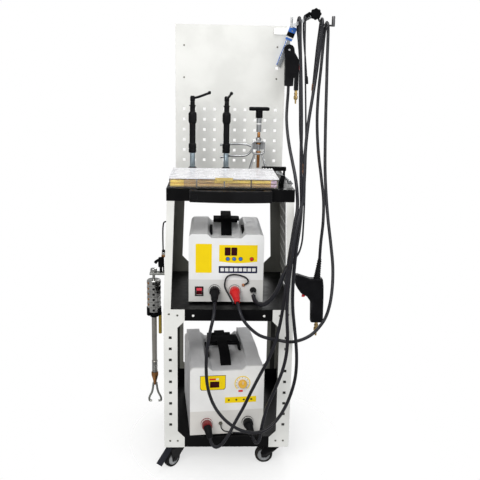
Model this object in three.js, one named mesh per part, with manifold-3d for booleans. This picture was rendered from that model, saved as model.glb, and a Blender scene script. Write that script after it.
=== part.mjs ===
import * as THREE from 'three';
import { mergeVertices } from 'three/addons/utils/BufferGeometryUtils.js';
import Module from 'manifold-3d';

// Dent pulling spot welder station: a three tier trolley with a perforated back board,
// two resistance welders, their cables and guns, and the pulling tools kept on it.
// Millimetres, Z up, X to the right, Y from the front to the back.

const wasm = await Module();
wasm.setup();

// Shared sizes
const gap = 0.3;
const overrun = 2;
const weld = 1e-4;
const roundSides = 14;
const smallSides = 8;
const cornerSides = 4;
const hexSides = 6;
const mediumSides = 12;
const fewestSteps = 4;
const mostSteps = 80;

// Trolley frame
const lowerWidth = 432;
const frameDepth = 450;
const frameBottom = 78;
const middleTop = 584;
const topTop = 988;
const lipHeight = 40;
const rearUpstand = 50;
const traySheet = 1.5;
const postSheet = 2;
const postLean = 13.8;
const lowerFlange = 46;
const upperFrontFlange = 24;
const upperRearFlange = 40;
const gussetWidth = 70;
const frontFootTab = 38;
const rearFootTab = 96;
const rearShelfTab = 34;
const slotPitch = 40;
const slotInset = 22;
const slotSize = 10;
const slotCount = 9;
const slotTop = 485;

// Perforated sheets
const holePitch = 38;
const holeSize = 10;
const panelSheet = 1.2;
const panelColumns = 5;
const panelRows = 8;
const panelEdge = 8;
const panelFront = 223;
const boardWidth = 406;
const boardShift = 4;
const boardAboveTray = 530;
const boardTop = topTop + boardAboveTray;
const boardBelowTray = 38;
const boardSheet = 1.5;
const boardFold = 14;
const boardFirstRow = topTop + holePitch;
const boardColumns = 10;
const boardRows = 6;
const boardEdgeHole = 9;

// Push handle
const handleSpan = 260;
const handleReach = 36;
const handleBar = 9;
const handleFoot = 24;
const handleHeight = 38;

// Casters
const casterInsetX = 49;
const casterInsetY = 36;
const wheelRadius = 31.5;
const wheelWidth = 22;
const wheelBore = 4.3;
const axleRadius = 4;
const trail = 34;
const forkSheet = 3;
const forkClear = 1.5;
const headRadius = 20;
const stemRadius = 5.7;
const socketRadius = 10;
const pedalWidth = 24;
const pedalSheet = 4;
const casterTurns = { front_left: 225, front_right: 180, rear_left: 90, rear_right: 20 };

// Welders
const upperWelder = {
  name: 'upper_welder', width: 251, height: 235, depth: 290, rise: 0, crest: 46,
  place: [-9.7, 62], feet: 7, turn: 0, floor: middleTop,
};
const lowerWelder = {
  name: 'lower_welder', width: 256, height: 250, depth: 330, rise: 26, crest: 51,
  place: [-0.5, 15.5], feet: 4, turn: 5.7, floor: frameBottom + lipHeight,
};
const caseSheet = 3;
const bezelDepth = 9;
const cornerRound = 15;
const towerShare = 0.245;
const recessDrop = 13;
const recessSlope = 14;
const ventCount = 7;
const ventPitch = 13;
const ventWidth = 5;
const ventHeight = 62;
const footRadius = 9;
const rearSlots = 5;
const rearSlotPitch = 14;
const rearSlotHeight = 6;
const strapWidth = 36;
const strapThickness = 13;
const crossBarWidth = 88;
const crossBarHeight = 22;

// Controls on the upper welder's front, measured from its lower middle
const buttonRadius = 5.5;
const buttonHeight = 3;
const buttonPocket = 4;
const buttonRoot = 1.5;
const buttonHeightOnPanel = 151;
const blueButtonPlaces = { left: 5, middle: 26, right: 48 };
const redButtonPlace = 85;
const rockerWidth = 20;
const rockerHeight = 26;
const rockerPin = 1.2;
const rockerEdge = 1;
const rockerPinDepth = 2.2;
const rockerPlace = [-90, 37];
const plugBossRadius = 20;
const plugBossDepth = 5;
const plugRadius = 17.5;
const plugTailRadius = 9;
const plugCollar = 24;
const plugBoot = 42;
const plugDroop = 34;
const plugSwings = { black: 0, red: 0.18, left: 0.15, right: 0.2 };
const knobRadius = 15;
const knobDepth = 14;
const knobRibs = 7;
const knobRibRadius = 1.6;
const knobStem = 6;
const knobPlace = [52, 188];

// Hanger beside the board
const hubRise = 37;
const hubPlace = [300, 385, boardTop + hubRise];
const barRadius = 5;
const pegHeight = 32;
const armSheet = 4.2;
const armHeight = 24;
const hangerKnobRadius = 18;
const hangerKnobDepth = 20;
const knobLobes = 8;
const lobeRadius = 3;
const studRadius = 5;

// Guns
const gunThickness = 30;
const gunEdge = 4;
const lowerGunY = 226;
const upperGunY = 414;

// Pulling tools
const toolY = 340;
const leverPullerPlaces = { left: [-132, 0], right: [-10, -76] };
const leverLength = 62;
const pullerHeight = 258;
const pullerRadius = 15;
const tPullerX = 107;
const tHandleSpan = 74;

// Tools hung on the left side
const slideX = -269.8;
const slideY = 256.5;
const slideRodRadius = 5;
const weightRadius = 25;
const weightHeight = 122;
const weightRings = 5;
const weightGroove = 3.5;
const weightBottom = 486.5;

// Organizer box
const boxWidth = 347;
const boxDepth = 230;
const boxHeight = 29;
const boxWall = 2;
const boxLeft = -195;
const boxFront = 8;
const lidThickness = 4.5;
const latchReach = 3;
const latchDrop = 6;
const cellColumns = 4;
const cellRows = 2;

// Cables
const cableRadius = 5.5;
const controlRadius = 3;
const cableSides = 8;

// Materials
const matte = (color, roughness, metalness = 0) =>
  new THREE.MeshStandardMaterial({ color, roughness, metalness });
const white = matte(0xd9dad4, 0.55);
const black = matte(0x16171a, 0.4);
const plasticBlack = matte(0x1b1c1f, 0.55);
const rubber = matte(0x1d1d20, 0.7);
const caseGrey = matte(0xdcdddb, 0.5);
const coverGrey = matte(0xb4b7b8, 0.45);
const steel = matte(0xb8bbbd, 0.3, 0.9);
const chrome = matte(0xd5d8da, 0.15, 1);
const red = matte(0xc8202a, 0.4);
const blue = matte(0x2a62b8, 0.4);
const orange = matte(0xe9a227, 0.45);
const clear = matte(0xe8e6dc, 0.2);
const pedalGrey = matte(0x4b5060, 0.5);

// Outlines
const outline = (points) => new THREE.Shape(points.map(([x, y]) => new THREE.Vector2(x, y)));
const rectangle = (left, bottom, right, top) =>
  [[left, bottom], [right, bottom], [right, top], [left, top]];

function squareHole(x, y, width, height = width) {
  const corners = rectangle(x - width / 2, y - height / 2, x + width / 2, y + height / 2);
  return new THREE.Path(corners.reverse().map(([px, py]) => new THREE.Vector2(px, py)));
}

// Slabs lie in one of the three planes and are as thick as given
const extruded = (shape, length, segments = cornerSides) =>
  new THREE.ExtrudeGeometry(shape, { depth: length, bevelEnabled: false, curveSegments: segments });
const floorSlab = (shape, thickness, bottom) =>
  extruded(shape, thickness).translate(0, 0, bottom);
const frontSlab = (shape, thickness, front) =>
  extruded(shape, thickness).rotateX(Math.PI / 2).translate(0, front + thickness, 0);
const sideSlab = (shape, thickness, left) =>
  extruded(shape, thickness).rotateX(Math.PI / 2).rotateZ(Math.PI / 2).translate(left, 0, 0);

function block(left, right, front, back, bottom, top) {
  return new THREE.BoxGeometry(right - left, back - front, top - bottom)
    .translate((left + right) / 2, (front + back) / 2, (bottom + top) / 2);
}

// Round bodies: a profile of [radius, height] pairs turned about Z
function turned(profile, sides = roundSides) {
  const points = profile.map(([radius, height]) => new THREE.Vector2(radius, height));
  return new THREE.LatheGeometry(points, sides).rotateX(Math.PI / 2);
}

const roundBar = (radius, bottom, top, sides = roundSides) =>
  turned([[0, bottom], [radius, bottom], [radius, top], [0, top]], sides);

// A bore's flats, not its corners, clear the pin that turns in it
const boreBar = (pin, bottom, top, sides = smallSides) =>
  roundBar((pin + gap) / Math.cos(Math.PI / sides), bottom, top, sides);

const alongY = (geometry) => geometry.rotateX(Math.PI / 2);

function tube(points, radius, sides = cableSides, spacing = radius * 6) {
  const path = new THREE.CatmullRomCurve3(points.map((point) => new THREE.Vector3(...point)));
  const steps = Math.min(mostSteps, Math.max(fewestSteps, Math.round(path.getLength() / spacing)));
  const section = new THREE.Shape(Array.from({ length: sides }, (_, index) => {
    const angle = (index / sides) * Math.PI * 2;
    return new THREE.Vector2(Math.cos(angle) * radius, Math.sin(angle) * radius);
  }));
  return new THREE.ExtrudeGeometry(section, { steps, bevelEnabled: false, extrudePath: path });
}

// Solids: closed meshes with shared corners, faces pointing out
function solid(geometry) {
  const bare = geometry.clone();
  bare.deleteAttribute('normal');
  bare.deleteAttribute('uv');
  const merged = geometry.userData.joined ? bare : mergeVertices(bare, weld);
  const place = merged.attributes.position;
  const corners = Array.from(merged.index.array);
  const triangles = [];
  let volume = 0;
  for (let index = 0; index < corners.length; index += 3) {
    const [a, b, c] = corners.slice(index, index + 3);
    if (a === b || b === c || c === a) continue;
    triangles.push(a, b, c);
    const [pa, pb, pc] = [a, b, c].map((corner) => new THREE.Vector3().fromBufferAttribute(place, corner));
    volume += pa.dot(pb.cross(pc));
  }
  if (volume < 0) triangles.reverse();
  return new wasm.Manifold(new wasm.Mesh({
    numProp: 3,
    vertProperties: Float32Array.from(place.array),
    triVerts: Uint32Array.from(triangles),
  }));
}

function shaped(added, removed = []) {
  let result = solid(added[0]);
  for (const geometry of added.slice(1)) result = result.add(solid(geometry));
  for (const geometry of removed) result = result.subtract(solid(geometry));
  const mesh = result.getMesh();
  const geometry = new THREE.BufferGeometry();
  geometry.setAttribute('position', new THREE.BufferAttribute(Float32Array.from(mesh.vertProperties), 3));
  geometry.setIndex(new THREE.BufferAttribute(Uint32Array.from(mesh.triVerts), 1));
  geometry.computeVertexNormals();
  geometry.userData.joined = true;
  return geometry;
}

const station = new THREE.Group();

function add(parent, name, geometry, material) {
  const mesh = new THREE.Mesh(geometry, material);
  mesh.name = name;
  parent.add(mesh);
  return mesh;
}

// Corner posts: folded angles with square slots, gussets at each tray and a leaning upper part
function leaned(geometry, bottom) {
  const lean = postLean / (topTop - lipHeight - middleTop);
  const place = geometry.attributes.position;
  for (let index = 0; index < place.count; index += 1) {
    place.setX(index, place.getX(index) + lean * (place.getZ(index) - bottom));
  }
  return geometry;
}

function lowerFlangeOutline(footTab) {
  const chamfer = gussetWidth - lowerFlange;
  const lipBottom = middleTop - lipHeight;
  const shape = outline([
    [0, frameBottom], [gussetWidth, frameBottom], [gussetWidth, frameBottom + footTab],
    [lowerFlange, frameBottom + footTab + chamfer], [lowerFlange, lipBottom - chamfer],
    [gussetWidth, lipBottom], [gussetWidth, middleTop], [0, middleTop],
  ]);
  for (let row = 0; row < slotCount; row += 1) {
    shape.holes.push(squareHole(slotInset, slotTop - row * slotPitch, slotSize));
  }
  return shape;
}

function postGeometry(rear) {
  const footTab = rear ? rearFootTab : frontFootTab;
  const postTop = topTop - traySheet - gap;
  const joint = middleTop - overrun;
  const upper = rear
    ? outline([
      [0, joint], [gussetWidth, joint], [gussetWidth, middleTop + rearShelfTab],
      [upperRearFlange, middleTop + rearShelfTab + gussetWidth - upperRearFlange],
      [upperRearFlange, postTop], [0, postTop],
    ])
    : outline(rectangle(0, joint, upperFrontFlange, postTop));
  return shaped([
    frontSlab(lowerFlangeOutline(footTab), postSheet, 0),
    sideSlab(lowerFlangeOutline(frontFootTab), postSheet, 0),
    leaned(frontSlab(upper, postSheet, 0), joint),
    leaned(sideSlab(outline(rectangle(0, joint, upperFrontFlange, postTop)), postSheet, 0), joint),
  ]);
}

for (const [end, rear] of [['front', false], ['rear', true]]) {
  for (const [sideName, side] of [['left', -1], ['right', 1]]) {
    const geometry = postGeometry(rear);
    geometry.scale(-side, rear ? -1 : 1, 1);
    geometry.translate(side * lowerWidth / 2, rear ? frameDepth : 0, 0);
    add(station, `post_${end}_${sideName}`, shaped([geometry]), white);
  }
}

// Perforated side panels of the upper bay, inside the posts
function sidePanelGeometry() {
  const bottom = middleTop + panelEdge;
  const top = topTop - lipHeight - panelEdge;
  const left = postSheet + gap;
  const back = frameDepth - panelEdge;
  const plate = block(left, left + panelSheet, panelFront, back, bottom, top);
  const firstColumn = (panelFront + back - (panelColumns - 1) * holePitch) / 2;
  const firstRow = (bottom + top - (panelRows - 1) * holePitch) / 2;
  const holes = [];
  for (let column = 0; column < panelColumns; column += 1) {
    for (let row = 0; row < panelRows; row += 1) {
      const y = firstColumn + column * holePitch;
      const z = firstRow + row * holePitch;
      holes.push(block(0, left + panelSheet + overrun, y - holeSize / 2, y + holeSize / 2,
        z - holeSize / 2, z + holeSize / 2));
    }
  }
  return leaned(shaped([plate], holes), middleTop - overrun);
}

for (const [sideName, side] of [['left', -1], ['right', 1]]) {
  const geometry = sidePanelGeometry().scale(-side, 1, 1).translate(side * lowerWidth / 2, 0, 0);
  add(station, `side_panel_${sideName}`, shaped([geometry]), white);
}

// Trays: flat floors with lips turned down
function trayGeometry(halfWidth, front, back, top, extras = [], bores = []) {
  const bottom = top - lipHeight;
  return shaped(
    [block(-halfWidth, halfWidth, front, back, bottom, top)],
    [block(-halfWidth + traySheet, halfWidth - traySheet, front + traySheet, back - traySheet,
      bottom - overrun, top - traySheet)],
    extras, bores,
  );
}

const innerHalf = lowerWidth / 2 - postSheet - gap;
const innerFront = postSheet + gap;
const innerBack = frameDepth - postSheet - gap;
const casterPlaces = {
  front_left: [-1, casterInsetY], front_right: [1, casterInsetY],
  rear_left: [-1, frameDepth - casterInsetY], rear_right: [1, frameDepth - casterInsetY],
};
const casterX = lowerWidth / 2 - casterInsetX;
const bottomTop = frameBottom + lipHeight;

function bottomTrayGeometry() {
  const sockets = Object.values(casterPlaces).map(([side, y]) =>
    roundBar(socketRadius, frameBottom + overrun, bottomTop - traySheet / 2, smallSides)
      .translate(side * casterX, y, 0));
  const bores = Object.values(casterPlaces).map(([side, y]) =>
    boreBar(stemRadius, frameBottom, bottomTop - traySheet)
      .translate(side * casterX, y, 0));
  const upstand = block(-innerHalf, innerHalf, innerBack - traySheet, innerBack,
    bottomTop - traySheet, bottomTop + rearUpstand);
  return shaped([trayGeometry(innerHalf, innerFront, innerBack, bottomTop), upstand, ...sockets], bores);
}

const topHalf = lowerWidth / 2 - postLean + gap + traySheet;
const topFront = -gap - traySheet;
const topBack = frameDepth + gap + traySheet;
add(station, 'bottom_tray', bottomTrayGeometry(), black);
add(station, 'middle_tray', trayGeometry(innerHalf, innerFront, innerBack, middleTop), black);
add(station, 'top_tray', trayGeometry(topHalf, topFront, topBack, topTop), black);

// Bowed push handle on the top tray's front lip
function pushHandleGeometry() {
  const half = handleSpan / 2;
  const sagitta = handleReach - handleFoot;
  const radius = (half * half + sagitta * sagitta) / (2 * sagitta);
  const sweep = Math.asin(half / radius);
  const shape = new THREE.Shape();
  shape.moveTo(-half, 0);
  shape.lineTo(-half, -handleFoot);
  shape.absarc(0, radius - handleReach, radius, -Math.PI / 2 - sweep, -Math.PI / 2 + sweep, false);
  shape.lineTo(half, 0);
  shape.lineTo(half - handleFoot, 0);
  shape.lineTo(half - handleFoot, handleBar - handleFoot);
  shape.lineTo(handleFoot - half, handleBar - handleFoot);
  shape.lineTo(handleFoot - half, 0);
  return shaped([floorSlab(shape, handleHeight, topTop - handleHeight - traySheet)
    .translate(0, topFront - gap, 0)]);
}
add(station, 'push_handle', pushHandleGeometry(), plasticBlack);

// Perforated tool board with folded edges, behind the top tray
const boardFront = topBack + gap;

function toolBoardGeometry() {
  const left = boardShift - boardWidth / 2;
  const right = boardShift + boardWidth / 2;
  const bottom = topTop - boardBelowTray;
  const firstColumn = boardShift - ((boardColumns - 1) * holePitch) / 2;
  const holes = [];
  for (let column = 0; column < boardColumns; column += 1) {
    const last = column === boardColumns - 1;
    for (let row = 0; row <= boardEdgeHole; row += 1) {
      if (row >= boardRows && !(last && row === boardEdgeHole)) continue;
      const x = firstColumn + column * holePitch;
      const z = boardFirstRow + row * holePitch;
      holes.push(block(x - holeSize / 2, x + holeSize / 2, boardFront - overrun, boardFront + boardSheet * 2,
        z - holeSize / 2, z + holeSize / 2));
    }
  }
  const back = boardFront + boardFold;
  return shaped([
    block(left, right, boardFront, boardFront + boardSheet, bottom, boardTop),
    block(left, left + boardSheet, boardFront, back, bottom, boardTop),
    block(right - boardSheet, right, boardFront, back, bottom, boardTop),
    block(left, right, boardFront, back, boardTop - boardSheet, boardTop),
  ], holes);
}
add(station, 'tool_board', toolBoardGeometry(), white);

// Casters: a swivelling fork with its stem and axle, a wheel and a brake pedal
const crown = wheelRadius * 2 + forkSheet;
const crownTop = crown + forkSheet * 2;
const pedalPin = 2;
const pedalPivot = [trail + axleRadius * 2.6, crownTop - pedalPin * 0.6];

function forkGeometry(brake) {
  const inner = wheelWidth / 2 + forkClear;
  const outer = inner + forkSheet;
  const front = trail + axleRadius * 3;
  const ear = brake ? pedalPivot[0] + pedalPin * 2 : trail;
  const cheek = outline([
    [-headRadius, crownTop], [-headRadius, crown], [trail - axleRadius * 2, wheelRadius - axleRadius * 2],
    [trail + axleRadius * 2, wheelRadius - axleRadius * 2], [front, wheelRadius + axleRadius * 3],
    [ear, crown], [ear, crownTop],
  ]);
  const axleHead = (from, to) =>
    alongY(roundBar(axleRadius * 1.7, from, to, hexSides)).translate(trail, 0, wheelRadius);
  const added = [
    frontSlab(cheek, forkSheet, inner),
    frontSlab(cheek, forkSheet, -outer),
    block(-headRadius, trail, -outer, outer, crown, crownTop),
    roundBar(headRadius, crownTop - overrun, frameBottom - forkSheet / 2),
    roundBar(stemRadius, frameBottom - forkSheet, bottomTop - traySheet - gap, smallSides),
    alongY(roundBar(axleRadius, -outer - forkSheet, outer + forkSheet, smallSides))
      .translate(trail, 0, wheelRadius),
    axleHead(outer - overrun / 2, outer + forkSheet),
    axleHead(-outer - forkSheet, overrun / 2 - outer),
  ];
  if (brake) {
    added.push(alongY(roundBar(pedalPin, -inner - overrun / 2, inner + overrun / 2, smallSides))
      .translate(pedalPivot[0], 0, pedalPivot[1]));
  }
  return shaped(added);
}

function wheelGeometry() {
  const half = wheelWidth / 2;
  const hub = wheelRadius * 0.68;
  const web = half * 0.55;
  const profile = [
    [wheelBore, -half], [hub * 0.45, -half], [hub * 0.5, -web], [hub * 0.95, -web], [hub, -half * 0.9],
    [wheelRadius * 0.88, -half * 0.9], [wheelRadius, -half * 0.45],
  ];
  const mirrored = profile.map(([radius, height]) => [radius, -height]).reverse();
  return shaped([alongY(turned([...profile, ...mirrored, profile[0]]))]);
}

function pedalGeometry() {
  const reach = wheelRadius * 1.5;
  const drop = wheelRadius * 1.4;
  const side = outline([
    [0, 0], [reach, -drop], [reach + pedalSheet, -drop + pedalSheet], [pedalSheet, pedalSheet * 0.6],
  ]);
  return shaped([
    frontSlab(side, pedalWidth, -pedalWidth / 2),
    alongY(roundBar(pedalSheet, -pedalWidth / 2, pedalWidth / 2)),
  ], [alongY(boreBar(pedalPin, -pedalWidth, pedalWidth))]);
}

for (const [corner, [side, y]] of Object.entries(casterPlaces)) {
  const caster = new THREE.Group();
  caster.position.set(side * casterX, y, 0);
  caster.rotation.z = THREE.MathUtils.degToRad(casterTurns[corner]);
  station.add(caster);
  add(caster, `caster_fork_${corner}`, forkGeometry(corner === 'front_left'), black);
  add(caster, `caster_wheel_${corner}`, wheelGeometry(), rubber).position.set(trail, 0, wheelRadius);
  if (corner === 'front_left') {
    add(caster, 'brake_pedal_front_left', pedalGeometry(), pedalGrey)
      .position.set(pedalPivot[0], 0, pedalPivot[1]);
  }
}

// Welder housings: front bezel, floor and back in one case, a moulded cover and a strap handle
function housingPoints({ width, height }, inset) {
  const half = width / 2 - inset;
  const top = height - inset;
  const tower = width * towerShare;
  const inner = width / 2 - tower - inset * 0.5;
  return { half, top, inner, low: top - recessDrop };
}

function housingShape(welder, inset, bottom) {
  const { half, top, inner, low } = housingPoints(welder, inset);
  const round = cornerRound - inset;
  const shape = new THREE.Shape();
  shape.moveTo(-half, bottom);
  shape.lineTo(half, bottom);
  shape.lineTo(half, top - round);
  shape.absarc(half - round, top - round, round, 0, Math.PI / 2, false);
  shape.lineTo(inner, top);
  shape.lineTo(inner - recessSlope, low);
  shape.lineTo(recessSlope - inner, low);
  shape.lineTo(-inner, top);
  shape.lineTo(round - half, top);
  shape.absarc(round - half, top - round, round, Math.PI / 2, Math.PI, false);
  return shape;
}

function vents(welder) {
  const start = welder.depth / 2 - ((ventCount - 1) * ventPitch) / 2;
  const low = welder.height * 0.3;
  return Array.from({ length: ventCount }, (_, index) => block(
    -welder.width, welder.width, start + index * ventPitch - ventWidth / 2,
    start + index * ventPitch + ventWidth / 2, low, low + ventHeight,
  ));
}

function coverGeometry(welder) {
  const front = bezelDepth + gap;
  const back = welder.depth - bezelDepth - gap;
  const length = back - front;
  const { inner, top } = housingPoints(welder, 0);
  const lift = caseSheet + gap;
  const added = [frontSlab(housingShape(welder, 0, lift), length, front)];
  if (welder.rise > 0) {
    const ramp = outline([
      [front, top - cornerRound], [front, top], [front + length * 0.16, top + welder.rise * 0.12],
      [front + length * 0.34, top + welder.rise * 0.85], [front + length * 0.45, top + welder.rise],
      [back, top + welder.rise], [back, top - cornerRound],
    ]);
    const thickness = welder.width / 2 - cornerRound / 2 - inner - recessSlope / 2;
    added.push(sideSlab(ramp, thickness, inner + recessSlope / 2));
    added.push(sideSlab(ramp, thickness, -inner - recessSlope / 2 - thickness));
  }
  const hollow = frontSlab(housingShape(welder, caseSheet, -overrun), length + overrun * 2, front - overrun);
  return shaped(added, [hollow, ...vents(welder)]);
}

// The housing is closed, so the case fills it up to the cover's inner face
function caseGeometry(welder, bosses, cuts, pins = []) {
  const half = welder.width / 2;
  const feet = [-1, 1].flatMap((side) => [0.12, 0.88].map((share) =>
    roundBar(footRadius, gap - welder.feet, overrun / 2, smallSides)
      .translate(side * half * 0.8, welder.depth * share, 0)));
  const grille = Array.from({ length: rearSlots }, (_, index) => {
    const low = welder.height * 0.45 + index * rearSlotPitch;
    return block(-half * 0.5, half * 0.5, welder.depth - caseSheet, welder.depth + overrun,
      low, low + rearSlotHeight);
  });
  const body = shaped([
    frontSlab(housingShape(welder, 0, 0), bezelDepth, 0),
    frontSlab(housingShape(welder, 0, 0), bezelDepth, welder.depth - bezelDepth),
    frontSlab(housingShape(welder, caseSheet + gap, 0), welder.depth - overrun * 2, overrun),
    ...feet, ...bosses,
  ], [...grille, ...cuts]);
  return pins.length ? shaped([body, ...pins]) : body;
}

// A strap over the recess with a cross bar at its back end
function strapHandleGeometry(welder) {
  const { low } = housingPoints(welder, 0);
  const base = low + gap;
  const front = welder.depth * 0.13;
  const back = welder.depth * 0.92;
  const crest = low + welder.crest;
  const length = back - front;
  const at = (lengthShare) => front + length * lengthShare;
  const middle = (crest + base) / 2;
  const foot = strapThickness * 1.4;
  const under = crest - strapThickness;
  const arch = new THREE.Shape();
  arch.moveTo(front, base);
  arch.bezierCurveTo(at(0.09), middle, at(0.22), crest, at(0.48), crest);
  arch.lineTo(at(0.87), crest);
  arch.quadraticCurveTo(back, crest, back, base);
  arch.lineTo(back - foot, base);
  arch.quadraticCurveTo(back - foot, under, at(0.84), under);
  arch.lineTo(at(0.49), under);
  arch.bezierCurveTo(at(0.29), under, at(0.17), middle, at(0.1), base);
  return shaped([
    extruded(arch, strapWidth).rotateX(Math.PI / 2).rotateZ(Math.PI / 2).translate(-strapWidth / 2, 0, 0),
    block(-crossBarWidth / 2, crossBarWidth / 2, back - strapThickness * 1.4, back,
      base, base + crossBarHeight),
  ]);
}

// A plug's collar sits square on its socket, and its boot droops to the cable
function plugGeometry(droop, swing) {
  const direction = new THREE.Vector3(Math.sin(swing), -Math.cos(droop), -Math.sin(droop)).normalize();
  const boot = turned([
    [0, 0], [plugRadius * 0.8, 0], [plugTailRadius * 1.3, plugBoot * 0.7], [plugTailRadius, plugBoot],
    [0, plugBoot],
  ], mediumSides);
  boot.applyQuaternion(new THREE.Quaternion().setFromUnitVectors(new THREE.Vector3(0, 0, 1), direction));
  return shaped([
    alongY(turned([
      [0, 0], [plugRadius * 0.92, 0], [plugRadius, overrun], [plugRadius, plugCollar * 0.8],
      [plugRadius * 0.86, plugCollar], [0, plugCollar],
    ], mediumSides)),
    boot.translate(0, plugRadius * 0.3 - plugCollar, 0),
  ]);
}

function addPlug(parent, name, material, x, z, droop, swing) {
  const plug = add(parent, name, plugGeometry(droop, swing), material);
  plug.position.set(x, -plugBossDepth - gap, z);
  return plug;
}

const boss = (x, z) =>
  alongY(roundBar(plugBossRadius, -overrun, plugBossDepth)).translate(x, 0, z);
const roundPocket = (x, z, radius, depth) =>
  alongY(roundBar(radius, -depth, overrun)).translate(x, 0, z);
const housings = {};
for (const welder of [upperWelder, lowerWelder]) {
  const group = new THREE.Group();
  group.position.set(welder.place[0], welder.place[1], welder.floor + welder.feet);
  group.rotation.z = THREE.MathUtils.degToRad(welder.turn);
  station.add(group);
  housings[welder.name] = group;
  add(group, `${welder.name}_cover`, coverGeometry(welder), coverGrey);
  add(group, `${welder.name}_handle`, strapHandleGeometry(welder), plasticBlack);
}

// A small elbow for the control lead, to the right of the plugs
const controlSocketPlace = [92, 42];
const controlSocketRadius = 7;
function controlSocket() {
  const [x, z] = controlSocketPlace;
  const reach = controlSocketRadius * 2;
  const bend = [[0.43, 0], [0.79, 0.14], [1, 0.43]].map(([out, down]) => [x, -reach * out, z - reach * down]);
  return tube([[x, overrun, z], ...bend], controlSocketRadius, smallSides, controlSocketRadius * 0.7);
}

// Upper welder's front: rocker switch, four push buttons and two cable plugs
const upperPlugs = { black: -38, red: 30 };
const upperPlugHeight = 41;
const upperButtons = {
  blue_button_left: blueButtonPlaces.left, blue_button_middle: blueButtonPlaces.middle,
  blue_button_right: blueButtonPlaces.right, red_button: redButtonPlace,
};
add(housings.upper_welder, 'upper_welder_case', caseGeometry(
  upperWelder,
  [boss(upperPlugs.black, upperPlugHeight), boss(upperPlugs.red, upperPlugHeight),
    controlSocket()],
  [
    block(rockerPlace[0] - rockerWidth / 2 - gap, rockerPlace[0] + rockerWidth / 2 + gap,
      -overrun, bezelDepth + overrun,
      rockerPlace[1] - rockerHeight / 2 - gap, rockerPlace[1] + rockerHeight / 2 + gap),
    ...Object.values(upperButtons).map((x) =>
      roundPocket(x, buttonHeightOnPanel, buttonRadius + gap, buttonPocket)),
  ],
  [roundBar(rockerPin, -rockerWidth / 2 - overrun, rockerWidth / 2 + overrun, smallSides)
    .rotateY(Math.PI / 2).translate(rockerPlace[0], rockerPinDepth, rockerPlace[1])],
), caseGrey);

for (const [name, x] of Object.entries(upperButtons)) {
  const button = add(housings.upper_welder, `upper_welder_${name}`, shaped([alongY(turned([
    [0, -buttonRoot], [buttonRadius, -buttonRoot], [buttonRadius, buttonHeight * 0.67],
    [buttonRadius * 0.8, buttonHeight], [0, buttonHeight],
  ], mediumSides))]), name === 'red_button' ? red : blue);
  button.position.set(x, 0, buttonHeightOnPanel);
}

// The rocker turns on a pin through its middle
const rockerShares = [[-0.064, 1], [-0.42, 1], [-0.22, 0], [-0.036, -1], [0.3, -0.6], [0.3, 0.6]];
function rockerGeometry() {
  const half = rockerHeight / 2 - rockerEdge * 2;
  const side = outline(rockerShares.map(([y, z]) => [y * half, z * half]));
  return shaped(
    [sideSlab(side, rockerWidth - rockerEdge * 2, rockerEdge - rockerWidth / 2)],
    [boreBar(rockerPin, -rockerWidth, rockerWidth).rotateY(Math.PI / 2)],
  );
}
add(housings.upper_welder, 'upper_welder_rocker', rockerGeometry(), red)
  .position.set(rockerPlace[0], rockerPinDepth, rockerPlace[1]);

const droop = THREE.MathUtils.degToRad(plugDroop);
const addUpperPlug = (name, material, x, swing) =>
  addPlug(housings.upper_welder, `upper_welder_plug_${name}`, material, x, upperPlugHeight, droop, swing);
addUpperPlug('black', rubber, upperPlugs.black, plugSwings.black);
addUpperPlug('red', red, upperPlugs.red, plugSwings.red);

// Lower welder's front: a power knob and two cable plugs
const lowerPlugs = { left: -70, right: 73 };
const lowerPlugHeight = 43;
add(housings.lower_welder, 'lower_welder_case', caseGeometry(
  lowerWelder,
  [boss(lowerPlugs.left, lowerPlugHeight), boss(lowerPlugs.right, lowerPlugHeight)],
  [roundPocket(knobPlace[0], knobPlace[1], knobRadius * 0.3 + gap, bezelDepth - overrun)],
), caseGrey);

function knobGeometry() {
  const ribs = Array.from({ length: knobRibs }, (_, index) =>
    roundBar(knobRibRadius, gap, knobDepth * 0.8, cornerSides).translate(knobRadius - gap, 0, 0)
      .rotateZ((index * Math.PI * 2) / knobRibs));
  return shaped([
    turned([[0, gap], [knobRadius, gap], [knobRadius, knobDepth * 0.85], [knobRadius * 0.85, knobDepth],
      [0, knobDepth]]),
    roundBar(knobRadius * 0.3, -knobStem, overrun, smallSides),
    ...ribs,
  ]);
}
add(housings.lower_welder, 'lower_welder_knob', shaped([alongY(knobGeometry())]), orange)
  .position.set(knobPlace[0], 0, knobPlace[1]);
for (const [name, x] of Object.entries(lowerPlugs)) {
  const swing = plugSwings[name];
  addPlug(housings.lower_welder, `lower_welder_plug_${name}`, rubber, x, lowerPlugHeight, droop, swing);
}

// Hanger: an arm bolted to the board, a side rod and the clamp knob that holds it
const [hubX, hubY, hubZ] = hubPlace;
const armBack = boardFront - gap;
const armFront = armBack - armSheet;
const plateDrop = 6;
const plateTop = boardTop - plateDrop;
const leftEnd = [218, plateTop];
const slopeHalf = 3.5;
const hubRing = 13;
const legX = 230;
const legHalf = 4;
const legLow = boardTop;
const toolPegDrop = 18;
const toolPeg = [226, boardTop - toolPegDrop];
const toolPegRadius = 3;
const plateLeft = 160;
const strapX = 217;
const gunPegDrop = 85;
const gunPeg = [214, boardTop - gunPegDrop];
const gunPegRadius = 4;

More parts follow.
